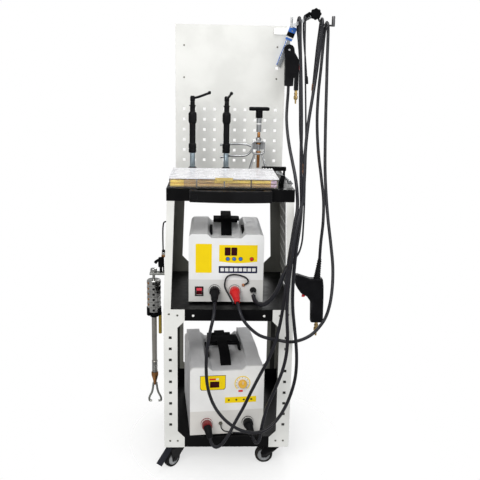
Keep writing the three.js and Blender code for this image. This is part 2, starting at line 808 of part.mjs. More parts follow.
function hangerArmGeometry() {
  const slope = outline([
    [leftEnd[0] - barRadius, leftEnd[1] - slopeHalf], [leftEnd[0] + barRadius, leftEnd[1] - slopeHalf],
    [hubX, hubZ - slopeHalf * 2], [hubX, hubZ + slopeHalf * 2],
    [leftEnd[0] - barRadius, leftEnd[1] + slopeHalf],
  ]);
  const ringBack = hubY + armSheet * 2;
  return shaped([
    frontSlab(slope, armSheet, hubY + armSheet),
    alongY(roundBar(hubRing, -ringBack, -hubY - armSheet)).translate(hubX, 0, hubZ),
    alongY(roundBar(studRadius, -ringBack, hangerKnobDepth / 2 - hubY + gap * 2, smallSides))
      .translate(hubX, 0, hubZ),
    roundBar(studRadius * 0.8, leftEnd[1] - slopeHalf, leftEnd[1] + pegHeight, smallSides)
      .translate(leftEnd[0], hubY + armSheet * 1.5, 0),
    block(legX - legHalf, legX + legHalf, hubY + armSheet, armBack, legLow, legLow + legHalf),
    block(legX - legHalf, legX + legHalf, armFront, armBack, plateTop - armHeight, legLow + legHalf),
    block(plateLeft, legX + legHalf, armFront, armBack, plateTop - armHeight, plateTop),
    block(strapX - legHalf * 1.5, strapX + legHalf, armFront, armBack, gunPeg[1] - legHalf * 2, plateTop),
    alongY(roundBar(gunPegRadius, -armBack, gunThickness / 2 + overrun - upperGunY, smallSides))
      .translate(gunPeg[0], 0, gunPeg[1]),
    alongY(roundBar(toolPegRadius, -armBack, legHalf * 3 - armFront, smallSides))
      .translate(toolPeg[0], 0, toolPeg[1]),
  ]);
}
add(station, 'hanger_arm', hangerArmGeometry(), steel);

const rodReach = 66;
const rodDrop = 36.5;
const rodShares = [[0.12, 0.16], [0.26, 0.63], [0.45, 0.9], [0.67, 0.985], [1, 1]];
const rightRod = rodShares.map(([x, z]) => [hubX + rodReach * x, hubZ - rodDrop * z]);
const rodRadius = 3.4;
const rodSpacing = 9;
function hangerRodGeometry() {
  const end = rightRod[rightRod.length - 1];
  const ringHalf = armSheet * 0.9;
  return shaped([
    alongY(roundBar(hubRing, -ringHalf, ringHalf)).translate(hubX, hubY, hubZ),
    tube(rightRod.map(([x, z]) => [x, hubY, z]), rodRadius, smallSides, rodSpacing),
    roundBar(barRadius * 1.2, end[1] - rodRadius, end[1] + pegHeight, smallSides).translate(end[0], hubY, 0),
  ], [alongY(boreBar(studRadius, -overrun * 4, overrun * 4)).translate(hubX, hubY, hubZ)]);
}
add(station, 'hanger_rod', hangerRodGeometry(), steel);

function hangerKnobGeometry() {
  const lobes = Array.from({ length: knobLobes }, (_, index) =>
    roundBar(lobeRadius, gap, hangerKnobDepth * 0.8, smallSides).translate(hangerKnobRadius - gap * 3, 0, 0)
      .rotateZ((index * Math.PI * 2) / knobLobes));
  return shaped([
    turned([[0, 0], [hangerKnobRadius, 0], [hangerKnobRadius, hangerKnobDepth * 0.8],
      [hangerKnobRadius * 0.85, hangerKnobDepth], [0, hangerKnobDepth]]),
    ...lobes,
  ], [boreBar(studRadius, -overrun, hangerKnobDepth * 0.7)]);
}
add(station, 'hanger_knob', shaped([alongY(hangerKnobGeometry())]), plasticBlack)
  .position.set(hubX, hubY - armSheet * 0.9 - gap, hubZ);

// Guns: moulded bodies with a nozzle and a separate trigger
function moulded(shape, thickness, middleY, edge = gunEdge) {
  const geometry = new THREE.ExtrudeGeometry(shape, {
    depth: thickness - edge * 2, bevelEnabled: true, bevelThickness: edge, bevelSize: edge,
    bevelOffset: -edge, bevelSegments: 2, curveSegments: cornerSides,
  });
  return geometry.rotateX(Math.PI / 2).translate(0, middleY + thickness / 2 - edge, 0);
}

function nozzle(x, y, top, length, radius) {
  const bottom = top - length;
  return turned([
    [0, bottom], [radius * 0.35, bottom], [radius * 0.45, bottom + length * 0.3],
    [radius * 0.8, bottom + length * 0.34], [radius, bottom + length * 0.6],
    [radius * 0.7, bottom + length * 0.62], [radius * 0.7, top + overrun], [0, top + overrun],
  ], smallSides).translate(x, y, 0);
}

// Outlines of the guns are in shares of a gun's height, from the barrel's lower end
const sized = (shares, place, size) =>
  shares.map(([x, z]) => [place[0] + x * size, place[1] + z * size]);

// Lower gun: barrel pointing down, grip to the left, cable entering at the top
const lowerGunPlace = [331, 459];
const lowerGunHeight = 184;
const lowerGunShares = [
  [-0.168, 0.918], [0.082, 0.918], [0.103, 0.766], [0.114, 0.549], [0.125, 0], [-0.125, 0],
  [-0.141, 0.429], [-0.223, 0.549], [-0.342, 0.614], [-0.408, 0.701], [-0.457, 0.788], [-0.473, 0.897],
  [-0.462, 1], [-0.408, 0.995], [-0.277, 0.951],
];
const lowerReliefShares = [[-0.033, 0.875], [-0.016, 1.065], [0.0054, 1.304]];
const lowerTriggerShares = [
  [-0.31, 0.658], [-0.234, 0.658], [-0.234, 0.582], [-0.266, 0.527], [-0.321, 0.527], [-0.31, 0.592],
];
const triggerSlotShares = [[-0.332, 0.467], [-0.212, 0.679]];
const reliefRadius = 7.5;
const reliefRings = 6;
const reliefRingPitch = 10;
const reliefRingRadius = 10.5;
const reliefRingTaper = 0.55;
const reliefLean = 1;
const nozzleLength = 54;
const nozzleRadius = 9;
const triggerThickness = 10;

function triggerSlot([low, high], thickness, middleY) {
  const half = thickness / 2 + gap;
  return block(low[0], high[0], middleY - half, middleY + half, low[1], high[1]);
}

function lowerGunGeometry() {
  const body = outline(sized(lowerGunShares, lowerGunPlace, lowerGunHeight));
  const relief = sized(lowerReliefShares, lowerGunPlace, lowerGunHeight);
  const [reliefX, reliefBottom] = relief[0];
  const rings = Array.from({ length: reliefRings }, (_, index) => {
    const bottom = reliefBottom + reliefRingPitch * (index + 0.7);
    const radius = reliefRingRadius - index * reliefRingTaper;
    return roundBar(radius, bottom, bottom + reliefRingPitch * 0.6, smallSides)
      .translate(reliefX + index * reliefLean, lowerGunY, 0);
  });
  return shaped([
    moulded(body, gunThickness, lowerGunY),
    tube(relief.map(([x, z]) => [x, lowerGunY, z]), reliefRadius, smallSides, reliefRadius * 3),
    ...rings,
    nozzle(lowerGunPlace[0], lowerGunY, lowerGunPlace[1], nozzleLength, nozzleRadius),
  ], [triggerSlot(sized(triggerSlotShares, lowerGunPlace, lowerGunHeight), triggerThickness, lowerGunY)]);
}
add(station, 'lower_gun_body', lowerGunGeometry(), plasticBlack);
function lowerTriggerGeometry() {
  const lever = outline(sized(lowerTriggerShares, lowerGunPlace, lowerGunHeight));
  return shaped([frontSlab(lever, triggerThickness, lowerGunY - triggerThickness / 2)]);
}
add(station, 'lower_gun_trigger', lowerTriggerGeometry(), red);

// Upper gun: hung by its eye on the peg, grip and barrel pointing down side by side
const upperGunHeight = 127;
const upperGunShares = [
  [-0.094, -1], [0.15, -1], [0.157, -0.764], [0.189, -0.764], [0.189, -1.126], [0.299, -1.126],
  [0.299, -0.291], [0.236, -0.181], [0.165, -0.071],
];
const upperGunNeckShares = [[-0.11, -0.26]];
const upperNozzleShares = [[0.244, -1.126]];
const upperTriggerShares = [
  [0.213, -0.339], [0.283, -0.354], [0.331, -0.449], [0.323, -0.559], [0.283, -0.543], [0.26, -0.465],
  [0.213, -0.449],
];
const upperSlotShares = [[0.197, -0.638], [0.315, -0.323]];
const gunEyeRadius = 20;
const upperGunEdge = 3;
const upperTriggerThickness = 8;
const upperNozzleLength = 48;
const upperNozzleRadius = 7.5;
function upperGunGeometry() {
  const body = outline(sized(upperGunShares, gunPeg, upperGunHeight));
  const [nozzlePoint] = sized(upperNozzleShares, gunPeg, upperGunHeight);
  const [neck] = sized(upperGunNeckShares, gunPeg, upperGunHeight);
  body.absarc(gunPeg[0], gunPeg[1], gunEyeRadius, -Math.PI / 8, Math.PI * 0.95, false);
  body.lineTo(...neck);
  return shaped([
    moulded(body, gunThickness, upperGunY, upperGunEdge),
    nozzle(nozzlePoint[0], upperGunY, nozzlePoint[1], upperNozzleLength, upperNozzleRadius),
  ], [
    alongY(boreBar(gunPegRadius, -upperGunY - gunThickness, gunThickness - upperGunY))
      .translate(gunPeg[0], 0, gunPeg[1]),
    triggerSlot(sized(upperSlotShares, gunPeg, upperGunHeight), upperTriggerThickness, upperGunY),
  ]);
}
add(station, 'upper_gun_body', upperGunGeometry(), plasticBlack);
function upperTriggerGeometry() {
  const lever = outline(sized(upperTriggerShares, gunPeg, upperGunHeight));
  return shaped([frontSlab(lever, upperTriggerThickness, upperGunY - upperTriggerThickness / 2)]);
}
add(station, 'upper_gun_trigger', upperTriggerGeometry(), red);

// Blue lever tool hanging behind the upper gun
const leverToolHead = { half: 14, thick: 10, top: 16, bottom: -22 };
const leverToolBand = { half: 13, thick: 8, bottom: -34 };
const leverToolBlade = { half: 8, thick: 6, bottom: -132 };
function leverToolGeometry() {
  const bar = ({ half, thick, bottom }, top) => block(-half, half, -thick / 2, thick / 2, bottom, top);
  return shaped([
    bar(leverToolHead, leverToolHead.top),
    bar(leverToolBand, leverToolHead.bottom + overrun),
    bar(leverToolBlade, leverToolBand.bottom + overrun),
  ], [alongY(boreBar(toolPegRadius, -gunThickness, gunThickness))]);
}
const leverToolTilt = 20.8;
const leverTool = add(station, 'blue_lever_tool', leverToolGeometry(), blue);
leverTool.position.set(toolPeg[0], armFront - leverToolHead.thick / 2 - gap, toolPeg[1]);
leverTool.rotation.y = THREE.MathUtils.degToRad(leverToolTilt);

// Lever pullers standing on the top tray: a sleeved column and a clamping lever
const pullerBase = topTop + gap;
const pullerShares = [
  [0, 0], [1.1, 0], [1.1, 0.085], [0.8, 0.098], [0.62, 0.1], [0.62, 0.295], [0.93, 0.302], [0.93, 0.419],
  [0.73, 0.425], [0.73, 0.698], [0.93, 0.713], [1, 0.736], [1, 0.83], [0.87, 0.853], [0.63, 0.86],
  [0.63, 0.935], [0.8, 0.938], [0.8, 0.948], [0.55, 0.951], [0.55, 1], [0, 1],
];
const inShares = (shares, radius, length) => shares.map(([x, y]) => [x * radius, y * length]);
function pullerBodyGeometry() {
  return shaped([turned(inShares(pullerShares, pullerRadius, pullerHeight))]);
}

const leverHub = 9;
const leverHubHeight = 20;
const leverBar = 4.4;
const leverRise = 20;
const leverEnd = 6;
function leverGeometry(length) {
  const start = leverHubHeight * 0.55;
  const hubShares = [[0, 0], [0.85, 0], [1, 0.2], [1, 0.75], [0.67, 1], [0, 1]];
  const endShares = [[0, -0.8], [0.8, -0.65], [1, 0], [0.8, 0.8], [0, 0.95]];
  return shaped([
    turned(inShares(hubShares, leverHub, leverHubHeight), smallSides),
    tube([[0, 0, start], [length * 0.3, 0, start + leverRise * 0.2], [length, 0, start + leverRise]],
      leverBar, smallSides, length / 4),
    turned(inShares(endShares, leverEnd, leverEnd), smallSides)
      .rotateY(Math.PI / 2).translate(length - leverEnd / 3, 0, start + leverRise),
  ]);
}

for (const [sideName, [x, turn]] of Object.entries(leverPullerPlaces)) {
  add(station, `lever_puller_body_${sideName}`, pullerBodyGeometry(), plasticBlack)
    .position.set(x, toolY, pullerBase);
  const lever = add(station, `lever_puller_lever_${sideName}`, leverGeometry(leverLength), plasticBlack);
  lever.position.set(x, toolY, pullerBase + pullerHeight + gap);
  lever.rotation.z = THREE.MathUtils.degToRad(turn);
}

// Squeeze puller: a looped frame on splayed legs, two hand levers and a screw with a T handle
const headRise = 98;
const headZ = topTop + headRise;
const headHalf = 25;
const headRound = 13;
const headBar = 6;
const headDepth = 18;
const collarRadius = 10;
const collarHeight = 12;
const spindleRadius = 6;
const spindleEnd = 24;
const legSpread = 34;
const legSplay = 22;
const legRadius = 3;
const squeezeReach = 139;
const squeezeRadius = 4;
const upperSqueezeShares = [[0.16, 0.02], [0.3, 0.07], [0.49, 0.08], [0.75, 0.065], [1, 0.04]];
const lowerSqueezeShares = [[0.16, -0.05], [0.24, -0.16], [0.35, -0.215], [0.75, -0.24], [1, -0.28]];
const legShares = [[0.35, 0.1, 0.79], [0.62, 0.6, 0.5], [1, 1, 0.055]];
const handleZ = headZ + headHalf + collarHeight + gap;

function roundedSquare(half, round, ShapeKind) {
  const shape = new ShapeKind();
  const inset = half - round;
  shape.moveTo(half, inset);
  shape.absarc(inset, inset, round, 0, Math.PI / 2, false);
  shape.absarc(-inset, inset, round, Math.PI / 2, Math.PI, false);
  shape.absarc(-inset, -inset, round, Math.PI, Math.PI * 1.5, false);
  shape.absarc(inset, -inset, round, Math.PI * 1.5, Math.PI * 2, false);
  return shape;
}

function squeezePullerGeometry() {
  const loop = roundedSquare(headHalf, headRound, THREE.Shape);
  loop.holes.push(roundedSquare(headHalf - headBar, headRound - headBar, THREE.Path));
  const rise = headZ - pullerBase;
  const legs = [-1, 1].flatMap((sideX) => [-1, 1].map((sideY) => tube(legShares.map(([x, y, z]) => [
    tPullerX + sideX * legSpread * x, toolY + sideY * legSplay * y, pullerBase + rise * z,
  ]), legRadius, hexSides, legSpread)));
  const footHalf = legRadius * 1.6;
  const feet = [-1, 1].map((side) => block(
    tPullerX - legSpread - footHalf, tPullerX + legSpread + footHalf,
    toolY + side * legSplay - footHalf, toolY + side * legSplay + footHalf,
    pullerBase, pullerBase + footHalf * 1.5,
  ));
  const levers = [upperSqueezeShares, lowerSqueezeShares].map((shares) => tube(shares.map(([x, z]) => [
    tPullerX - x * squeezeReach, toolY + legSplay * x ** 0.7, headZ + z * squeezeReach,
  ]), squeezeRadius, smallSides, squeezeReach / 8));
  return shaped([
    frontSlab(loop, headDepth, -headDepth / 2).translate(tPullerX, toolY, headZ),
    roundBar(collarRadius, headZ + headHalf - overrun, headZ + headHalf + collarHeight)
      .translate(tPullerX, toolY, 0),
    roundBar(spindleRadius, pullerBase + spindleEnd, headZ + headHalf, smallSides)
      .translate(tPullerX, toolY, 0),
    ...legs, ...feet, ...levers,
  ]);
}
add(station, 'squeeze_puller_frame', squeezePullerGeometry(), chrome);

const handleStem = 101;
const handleBoss = 12.5;
const handleGrip = 7;
const stemShares = [
  [0, 0], [0.48, 0], [0.48, 0.19], [0.72, 0.2], [0.72, 0.68], [1, 0.68], [1, 0.96], [0, 0.96],
];
const gripShares = [[0, -1], [0.79, -0.97], [1, -0.84], [1, 0.84], [0.79, 0.97], [0, 1]];
function tHandleGeometry() {
  return shaped([
    turned(inShares(stemShares, handleBoss, handleStem), mediumSides),
    turned(inShares(gripShares, handleGrip, tHandleSpan / 2), smallSides).rotateY(Math.PI / 2)
      .translate(0, 0, handleStem),
  ]);
}
add(station, 'squeeze_puller_t_handle', tHandleGeometry(), plasticBlack)
  .position.set(tPullerX, toolY, handleZ);

// Slide hammer on the left side: rod with claws, sliding weight and the hook that holds it
const hookZ = 629;
const hookPlate = 8;
const hookHalf = 15;
const hookSheet = 3;
const hookBack = 57;
const hookPegZ = 633;
const hookKnobZ = 656;
const hookKnobHeight = 36;
const knobOut = 36;
const rodOut = 22;
const rodTop = 823;
const bendRadius = 11;
const thinRodRadius = 2.6;
const hammerTop = hookZ + hookPlate + gap;
const hammerFlange = 484;
const hammerBottom = 190;
const hammerRadius = 13;
const flangeRadius = 15;
const sideTubeReach = 22;
const sideTubeRadius = 6;
const sideTubeBottom = 399;
const clawDrop = 76;
const clawReach = 22;
const clawRadius = 4;
const hammerShares = [
  [0, 0], [0.92, 0], [1, 0.02], [1, 0.18], [0.7, 0.194], [0.85, 0.218], [0.85, 0.333], [0.7, 0.347],
  [0.73, 0.939], [1.15, 0.952], [1.15, 1],
];
function slideHammerGeometry() {
  const reach = hammerFlange - hammerBottom;
  const clawShares = [[0.23, 0.13], [0.5, -0.37], [1, -0.71], [0.95, -0.87], [0.55, -0.87]];
  const claws = [-1, 1].map((side) => tube(clawShares.map(([x, z]) =>
    [side * x * clawReach, 0, hammerBottom + z * clawDrop]), clawRadius, smallSides, clawReach * 0.65));
  const lower = inShares(hammerShares, hammerRadius, reach)
    .map(([radius, height]) => [radius, hammerBottom + height]);
  return shaped([
    turned([
      ...lower, [slideRodRadius, hammerFlange + overrun], [slideRodRadius, hammerTop],
      [flangeRadius * 0.8, hammerTop], [flangeRadius * 0.8, hammerTop + flangeRadius * 0.8],
      [0, hammerTop + flangeRadius],
    ], mediumSides),
    block(0, sideTubeReach + sideTubeRadius, -slideRodRadius, slideRodRadius,
      hammerFlange - hammerRadius, hammerFlange - overrun),
    roundBar(sideTubeRadius, sideTubeBottom, hammerFlange - sideTubeRadius, smallSides)
      .translate(sideTubeReach, 0, 0),
    ...claws,
  ]);
}
add(station, 'slide_hammer', slideHammerGeometry(), steel).position.set(slideX, slideY, 0);

function weightGeometry() {
  const pitch = weightHeight / weightRings;
  const groove = weightRadius - weightGroove;
  const profile = [[slideRodRadius + gap * 2, 0]];
  for (let ring = 0; ring < weightRings; ring += 1) {
    const low = ring * pitch;
    const high = low + pitch - weightGroove;
    profile.push([groove, low], [weightRadius, low + weightGroove], [weightRadius, high]);
  }
  profile.push([groove, weightHeight], [slideRodRadius + gap * 2, weightHeight]);
  profile.push([slideRodRadius + gap * 2, 0]);
  return shaped([turned(profile)]);
}
add(station, 'slide_weight', weightGeometry(), steel).position.set(slideX, slideY, weightBottom);

// The hook's two pegs sit in the side panel's holes; its fork carries the hammer by its collar
function toolHookGeometry() {
  const lean = postLean / (topTop - lipHeight - middleTop);
  const faceAt = (z) => -lowerWidth / 2 + postSheet + gap + lean * (z - middleTop + overrun) - gap;
  const inner = faceAt(hookZ);
  const notchHalf = slideRodRadius + gap * 3;
  const mouth = slideX - hookHalf + gap * 3;
  const flat = outline([
    [inner, slideY - hookHalf], [inner, slideY + hookHalf], [mouth, slideY + hookHalf],
    [mouth, slideY + notchHalf + overrun], [slideX + notchHalf, slideY + notchHalf],
    [slideX + notchHalf, slideY - notchHalf], [mouth, slideY - notchHalf - overrun],
    [mouth, slideY - hookHalf],
  ]);
  const knobX = inner - knobOut;
  const rodX = inner - rodOut;
  const rodY = slideY + hookHalf * 0.75;
  const pegHalf = holeSize * 0.4;
  const rows = [0, 1].map((row) => hookPegZ + row * holePitch);
  const pegs = rows.map((z) => block(
    inner - gap * 3, faceAt(z) + panelSheet + gap * 4,
    slideY - pegHalf, slideY + pegHalf, z - pegHalf, z + pegHalf,
  ));
  const rodPoints = [
    [rodX, rodY, hookZ + hookPlate / 2], [rodX, rodY, rodTop - bendRadius],
    [rodX + bendRadius * 0.36, rodY, rodTop - overrun], [rodX + bendRadius * 1.8, rodY, rodTop],
    [faceAt(rodTop) - gap * 3, rodY, rodTop],
  ];
  const knobShares = [[0, 0], [0.93, 0], [1, 0.11], [1, 0.83], [0.8, 1], [0, 1]];
  return shaped([
    floorSlab(flat, hookPlate, hookZ),
    leaned(block(-hookSheet, 0, slideY - hookHalf, slideY + hookHalf, hookZ, hookZ + hookBack), hookZ)
      .translate(inner, 0, 0),
    roundBar(slideRodRadius, hookZ + overrun, hookKnobZ + hookSheet * 2)
      .translate(knobX + slideRodRadius, slideY, 0),
    turned(inShares(knobShares, hookHalf, hookKnobHeight)).translate(knobX, slideY, hookKnobZ),
    tube(rodPoints, thinRodRadius, smallSides, bendRadius),
    ...pegs,
  ]);
}
add(station, 'tool_hook_left', toolHookGeometry(), steel);

// Organizer box with cells and a hinged lid
const boxBottom = topTop + gap;
function boxBaseGeometry() {
  const cellWidth = (boxWidth - boxWall * (cellColumns + 1)) / cellColumns;
  const cellDepth = (boxDepth - boxWall * (cellRows + 1)) / cellRows;
  const cells = [];
  for (let column = 0; column < cellColumns; column += 1) {
    for (let row = 0; row < cellRows; row += 1) {
      const left = boxWall + column * (cellWidth + boxWall);
      const front = boxWall + row * (cellDepth + boxWall);
      cells.push(block(left, left + cellWidth, front, front + cellDepth, boxWall, boxHeight + overrun));
    }
  }
  return shaped([block(0, boxWidth, 0, boxDepth, 0, boxHeight)], cells);
}
add(station, 'organizer_box', boxBaseGeometry(), clear).position.set(boxLeft, boxFront, boxBottom);
add(station, 'organizer_lid', shaped([
  block(0, boxWidth, 0, boxDepth, 0, lidThickness),
  block(boxWidth * 0.42, boxWidth * 0.58, -latchReach, overrun, 0, lidThickness),
  block(boxWidth * 0.42, boxWidth * 0.58, -latchReach, -gap, -latchDrop, overrun),
]), clear).position.set(boxLeft, boxFront, boxBottom + boxHeight + gap);

// Cables: routes chosen by hand
const cables = {
  gun_cable_low: [cableRadius, [
    [27.9, 2.9, 608.3], [30.2, -7.7, 601.2], [33.5, -18, 592], [38, -27, 580], [47, -35, 562],
    [67, -40, 538], [97, -43, 514], [128, -38, 500], [165, -36, 492], [203, -42, 489], [240, -36, 494],
    [274, -20, 505], [304, 8, 521], [330, 38, 545], [348, 68, 582], [359, 98, 635], [362, 125, 700],
    [356, 150, 771], [347, 180, 854], [341, 210, 937], [338, 240, 1021], [339, 270, 1106],
    [341, 300, 1200], [343, 325, 1300], [343, 340, 1400], [343, 345, 1455], [343, 349, 1490],
    [343, 360, 1517], [343, 386, 1529.5], [343, 412, 1517], [342, 423, 1490], [340, 426, 1450],
    [335, 421, 1370], [328, 408, 1287], [324, 385, 1187], [327, 345, 1081], [336, 300, 984],
    [343, 270, 908], [341, 245, 831], [334, 230, 761], [332, 226, 712], [332, 226, 699.8],
  ]],
  gun_cable_up: [cableRadius, [
    [-57.9, -49.8, 141.2], [-55, -60.3, 134], [-49, -72, 128.5], [-38, -81, 127], [-21, -83, 137],
    [2, -77, 168], [28, -62, 214], [52, -60, 262], [76, -58, 316], [102, -56, 372], [130, -55, 430],
    [152, -54, 493], [167, -50, 561], [177, -43, 635], [184, -35, 708], [191, -27, 779], [198, -20, 830],
    [205, -14, 880], [213, -4, 927], [214, 24, 974], [212, 70, 1018], [208, 130, 1060], [204, 200, 1105],
    [203, 270, 1150], [206, 340, 1195], [212, 390, 1238], [216, 411, 1278], [216.5, 414, 1305.2],
  ]],
  ground_cable_up: [cableRadius, [
    [-47.7, 2.3, 607.9], [-47.7, -8.5, 600.7], [-48.5, -20, 591], [-50, -31, 577], [-54, -40, 558],
    [-60, -47, 532], [-67, -54, 496], [-72, -54, 450], [-73, -56, 398], [-69, -58, 344], [-57, -62, 297],
    [-37, -70, 258], [-8, -80, 226], [24, -86, 203], [60, -86, 187], [100, -84, 183], [138, -78, 197],
    [169, -70, 228], [193, -63, 268], [211, -58, 316], [222, -57, 370], [224, -58, 428], [220, -58, 486],
    [213, -54, 544], [206, -47, 606], [204, -43, 667], [206, -41, 732], [211, -36, 802], [220, -24, 868],
    [227, 4, 932], [230, 58, 1005], [234, 115, 1082], [239, 170, 1169], [242, 225, 1261],
    [244, 280, 1355], [244, 320, 1430], [244, 342, 1480], [244, 348, 1505], [244, 361, 1530],
    [244, 389, 1543.4], [244, 417, 1530], [246, 429, 1504], [252, 434, 1465], [260, 435, 1391],
    [263, 432, 1300], [266, 426, 1214], [270, 428, 1140], [278, 430, 1070], [287, 432, 1005],
  ]],
  ground_cable_low: [cableRadius, [
    [86.35, -35.1, 141.4], [89.9, -45.4, 134.3], [95, -56, 130.5], [102, -65, 134], [109, -68, 150],
    [114, -67, 188], [121, -62, 222], [132, -57, 262], [148, -58, 306], [164, -61, 352], [178, -64, 398],
    [188, -66, 452], [190, -68, 514], [186, -66, 577], [185, -63, 638], [188, -59, 698], [194, -53, 762],
    [202, -46, 831], [213, -36, 895], [228, -10, 958], [238, 42, 1028], [247, 108, 1106],
    [261, 170, 1183], [279, 228, 1261], [297, 284, 1342], [311, 322, 1425], [318, 340, 1475],
    [321, 349, 1502], [324, 361, 1527], [325, 386, 1541], [325, 411, 1527], [324, 423, 1500],
    [320, 428, 1450], [316, 432, 1380], [311, 430, 1300],
  ]],
  control_cable: [controlRadius, [
    [82.3, 47, 624.6], [84, 39, 614], [90, 27, 604], [101, 12, 600], [115, 0, 604], [131, -7, 617],
    [148, -11, 640], [163, -14, 672], [176, -14, 712], [190, -12, 740], [206, -12, 760], [222, -6, 780],
    [234, 10, 812], [241, 40, 862], [247, 80, 932], [252, 125, 1010], [257, 170, 1090], [260, 220, 1180],
    [262, 272, 1280], [263, 322, 1380], [263, 352, 1460], [263, 362, 1506], [263, 371, 1538],
    [263, 389, 1549.2], [263, 407, 1538], [264, 416, 1506], [269, 422, 1460], [277, 424, 1400],
    [285, 426, 1330],
  ]],
};
for (const [name, [radius, points]] of Object.entries(cables)) {
  add(station, name, shaped([tube(points, radius)]), rubber);
}

// The origin sits under the middle of everything but the cables
const extent = new THREE.Box3();
station.updateMatrixWorld(true);
for (const mesh of station.children.flatMap((child) => (child.isMesh ? [child] : child.children))) {
  if (!(mesh.name in cables) && !mesh.name.includes('_plug_')) extent.expandByObject(mesh, true);
}
const middle = extent.getCenter(new THREE.Vector3());
station.position.set(-middle.x, -middle.y, -extent.min.z);

const group = new THREE.Group();
group.add(station);

export default group;
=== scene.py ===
import math
import random

import bmesh
import bpy
from mathutils import Matrix, Vector


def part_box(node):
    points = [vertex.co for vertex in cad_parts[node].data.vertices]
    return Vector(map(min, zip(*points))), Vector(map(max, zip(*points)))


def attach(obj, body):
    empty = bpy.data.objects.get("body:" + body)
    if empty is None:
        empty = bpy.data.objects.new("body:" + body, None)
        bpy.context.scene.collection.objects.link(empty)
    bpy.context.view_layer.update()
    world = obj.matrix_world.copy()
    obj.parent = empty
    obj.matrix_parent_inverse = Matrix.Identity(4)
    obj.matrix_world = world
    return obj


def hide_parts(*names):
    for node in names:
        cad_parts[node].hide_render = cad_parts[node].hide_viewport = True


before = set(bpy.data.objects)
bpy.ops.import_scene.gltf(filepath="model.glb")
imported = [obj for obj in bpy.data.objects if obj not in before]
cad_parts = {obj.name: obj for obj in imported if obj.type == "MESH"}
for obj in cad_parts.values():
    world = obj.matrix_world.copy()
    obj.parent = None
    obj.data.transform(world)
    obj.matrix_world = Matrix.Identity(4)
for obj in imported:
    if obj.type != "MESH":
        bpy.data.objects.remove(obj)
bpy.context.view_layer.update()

scene = bpy.context.scene

# Camera
# The station is measured in millimetres from the front posts' plane and the floor, and the
# middle tray's box, which starts a little behind the posts, says where that lies in the frame.
TRAY_BEHIND_POSTS = 0.0023
tray_low, tray_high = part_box("middle_tray")
ORIGIN = Vector(((tray_low.x + tray_high.x) / 2, tray_low.y - TRAY_BEHIND_POSTS, 0))


def metres(x, y, z):
    return Vector((x, y, z)) / 1000 + ORIGIN


def shown(name, data):
    made = bpy.data.objects.new(name, data)
    scene.collection.objects.link(made)
    return made


camera_data = bpy.data.cameras.new("camera")
camera_data.lens = 49.159
camera_data.sensor_width = 36
camera_data.clip_end = 50
camera = shown("camera", camera_data)
scene.camera = camera
EYE = (-57.137, -2051.172, 1322.202)
yaw, pitch, roll = math.radians(2.492), math.radians(13.681), math.radians(1.15)
ahead = Vector((math.sin(yaw) * math.cos(pitch), math.cos(yaw) * math.cos(pitch), -math.sin(pitch)))
across = Vector((math.cos(yaw), -math.sin(yaw), 0))
upward = across.cross(ahead)
level = across * math.cos(roll) + upward * math.sin(roll)
rise = upward * math.cos(roll) - across * math.sin(roll)
camera.matrix_world = Matrix.Translation(metres(*EYE)) @ Matrix((level, rise, -ahead)).transposed().to_4x4()

# Cables
# Two gun cables, two ground cables and a thin control cable: rubber sheathed copper, plugged
# into the welders and hung in long loops over the hanger at the board's top.


class Value:
    """A socket in a material, on which sums can be written."""

    def __init__(self, finish, socket):
        self.finish = finish
        self.socket = socket

    def maths(self, operation, *others):
        return self.finish.node("ShaderNodeMath", {"operation": operation}, self, *others)

    def __add__(self, other):
        return self.maths("ADD", other)

    def __sub__(self, other):
        return self.maths("SUBTRACT", other)

    def __rsub__(self, other):
        return self.finish.node("ShaderNodeMath", {"operation": "SUBTRACT"}, other, self)

    def __mul__(self, other):
        return self.maths("MULTIPLY", other)

    def __gt__(self, other):
        return self.maths("GREATER_THAN", other)

    def __lt__(self, other):
        return self.maths("LESS_THAN", other)

    __radd__ = __add__
    __rmul__ = __mul__


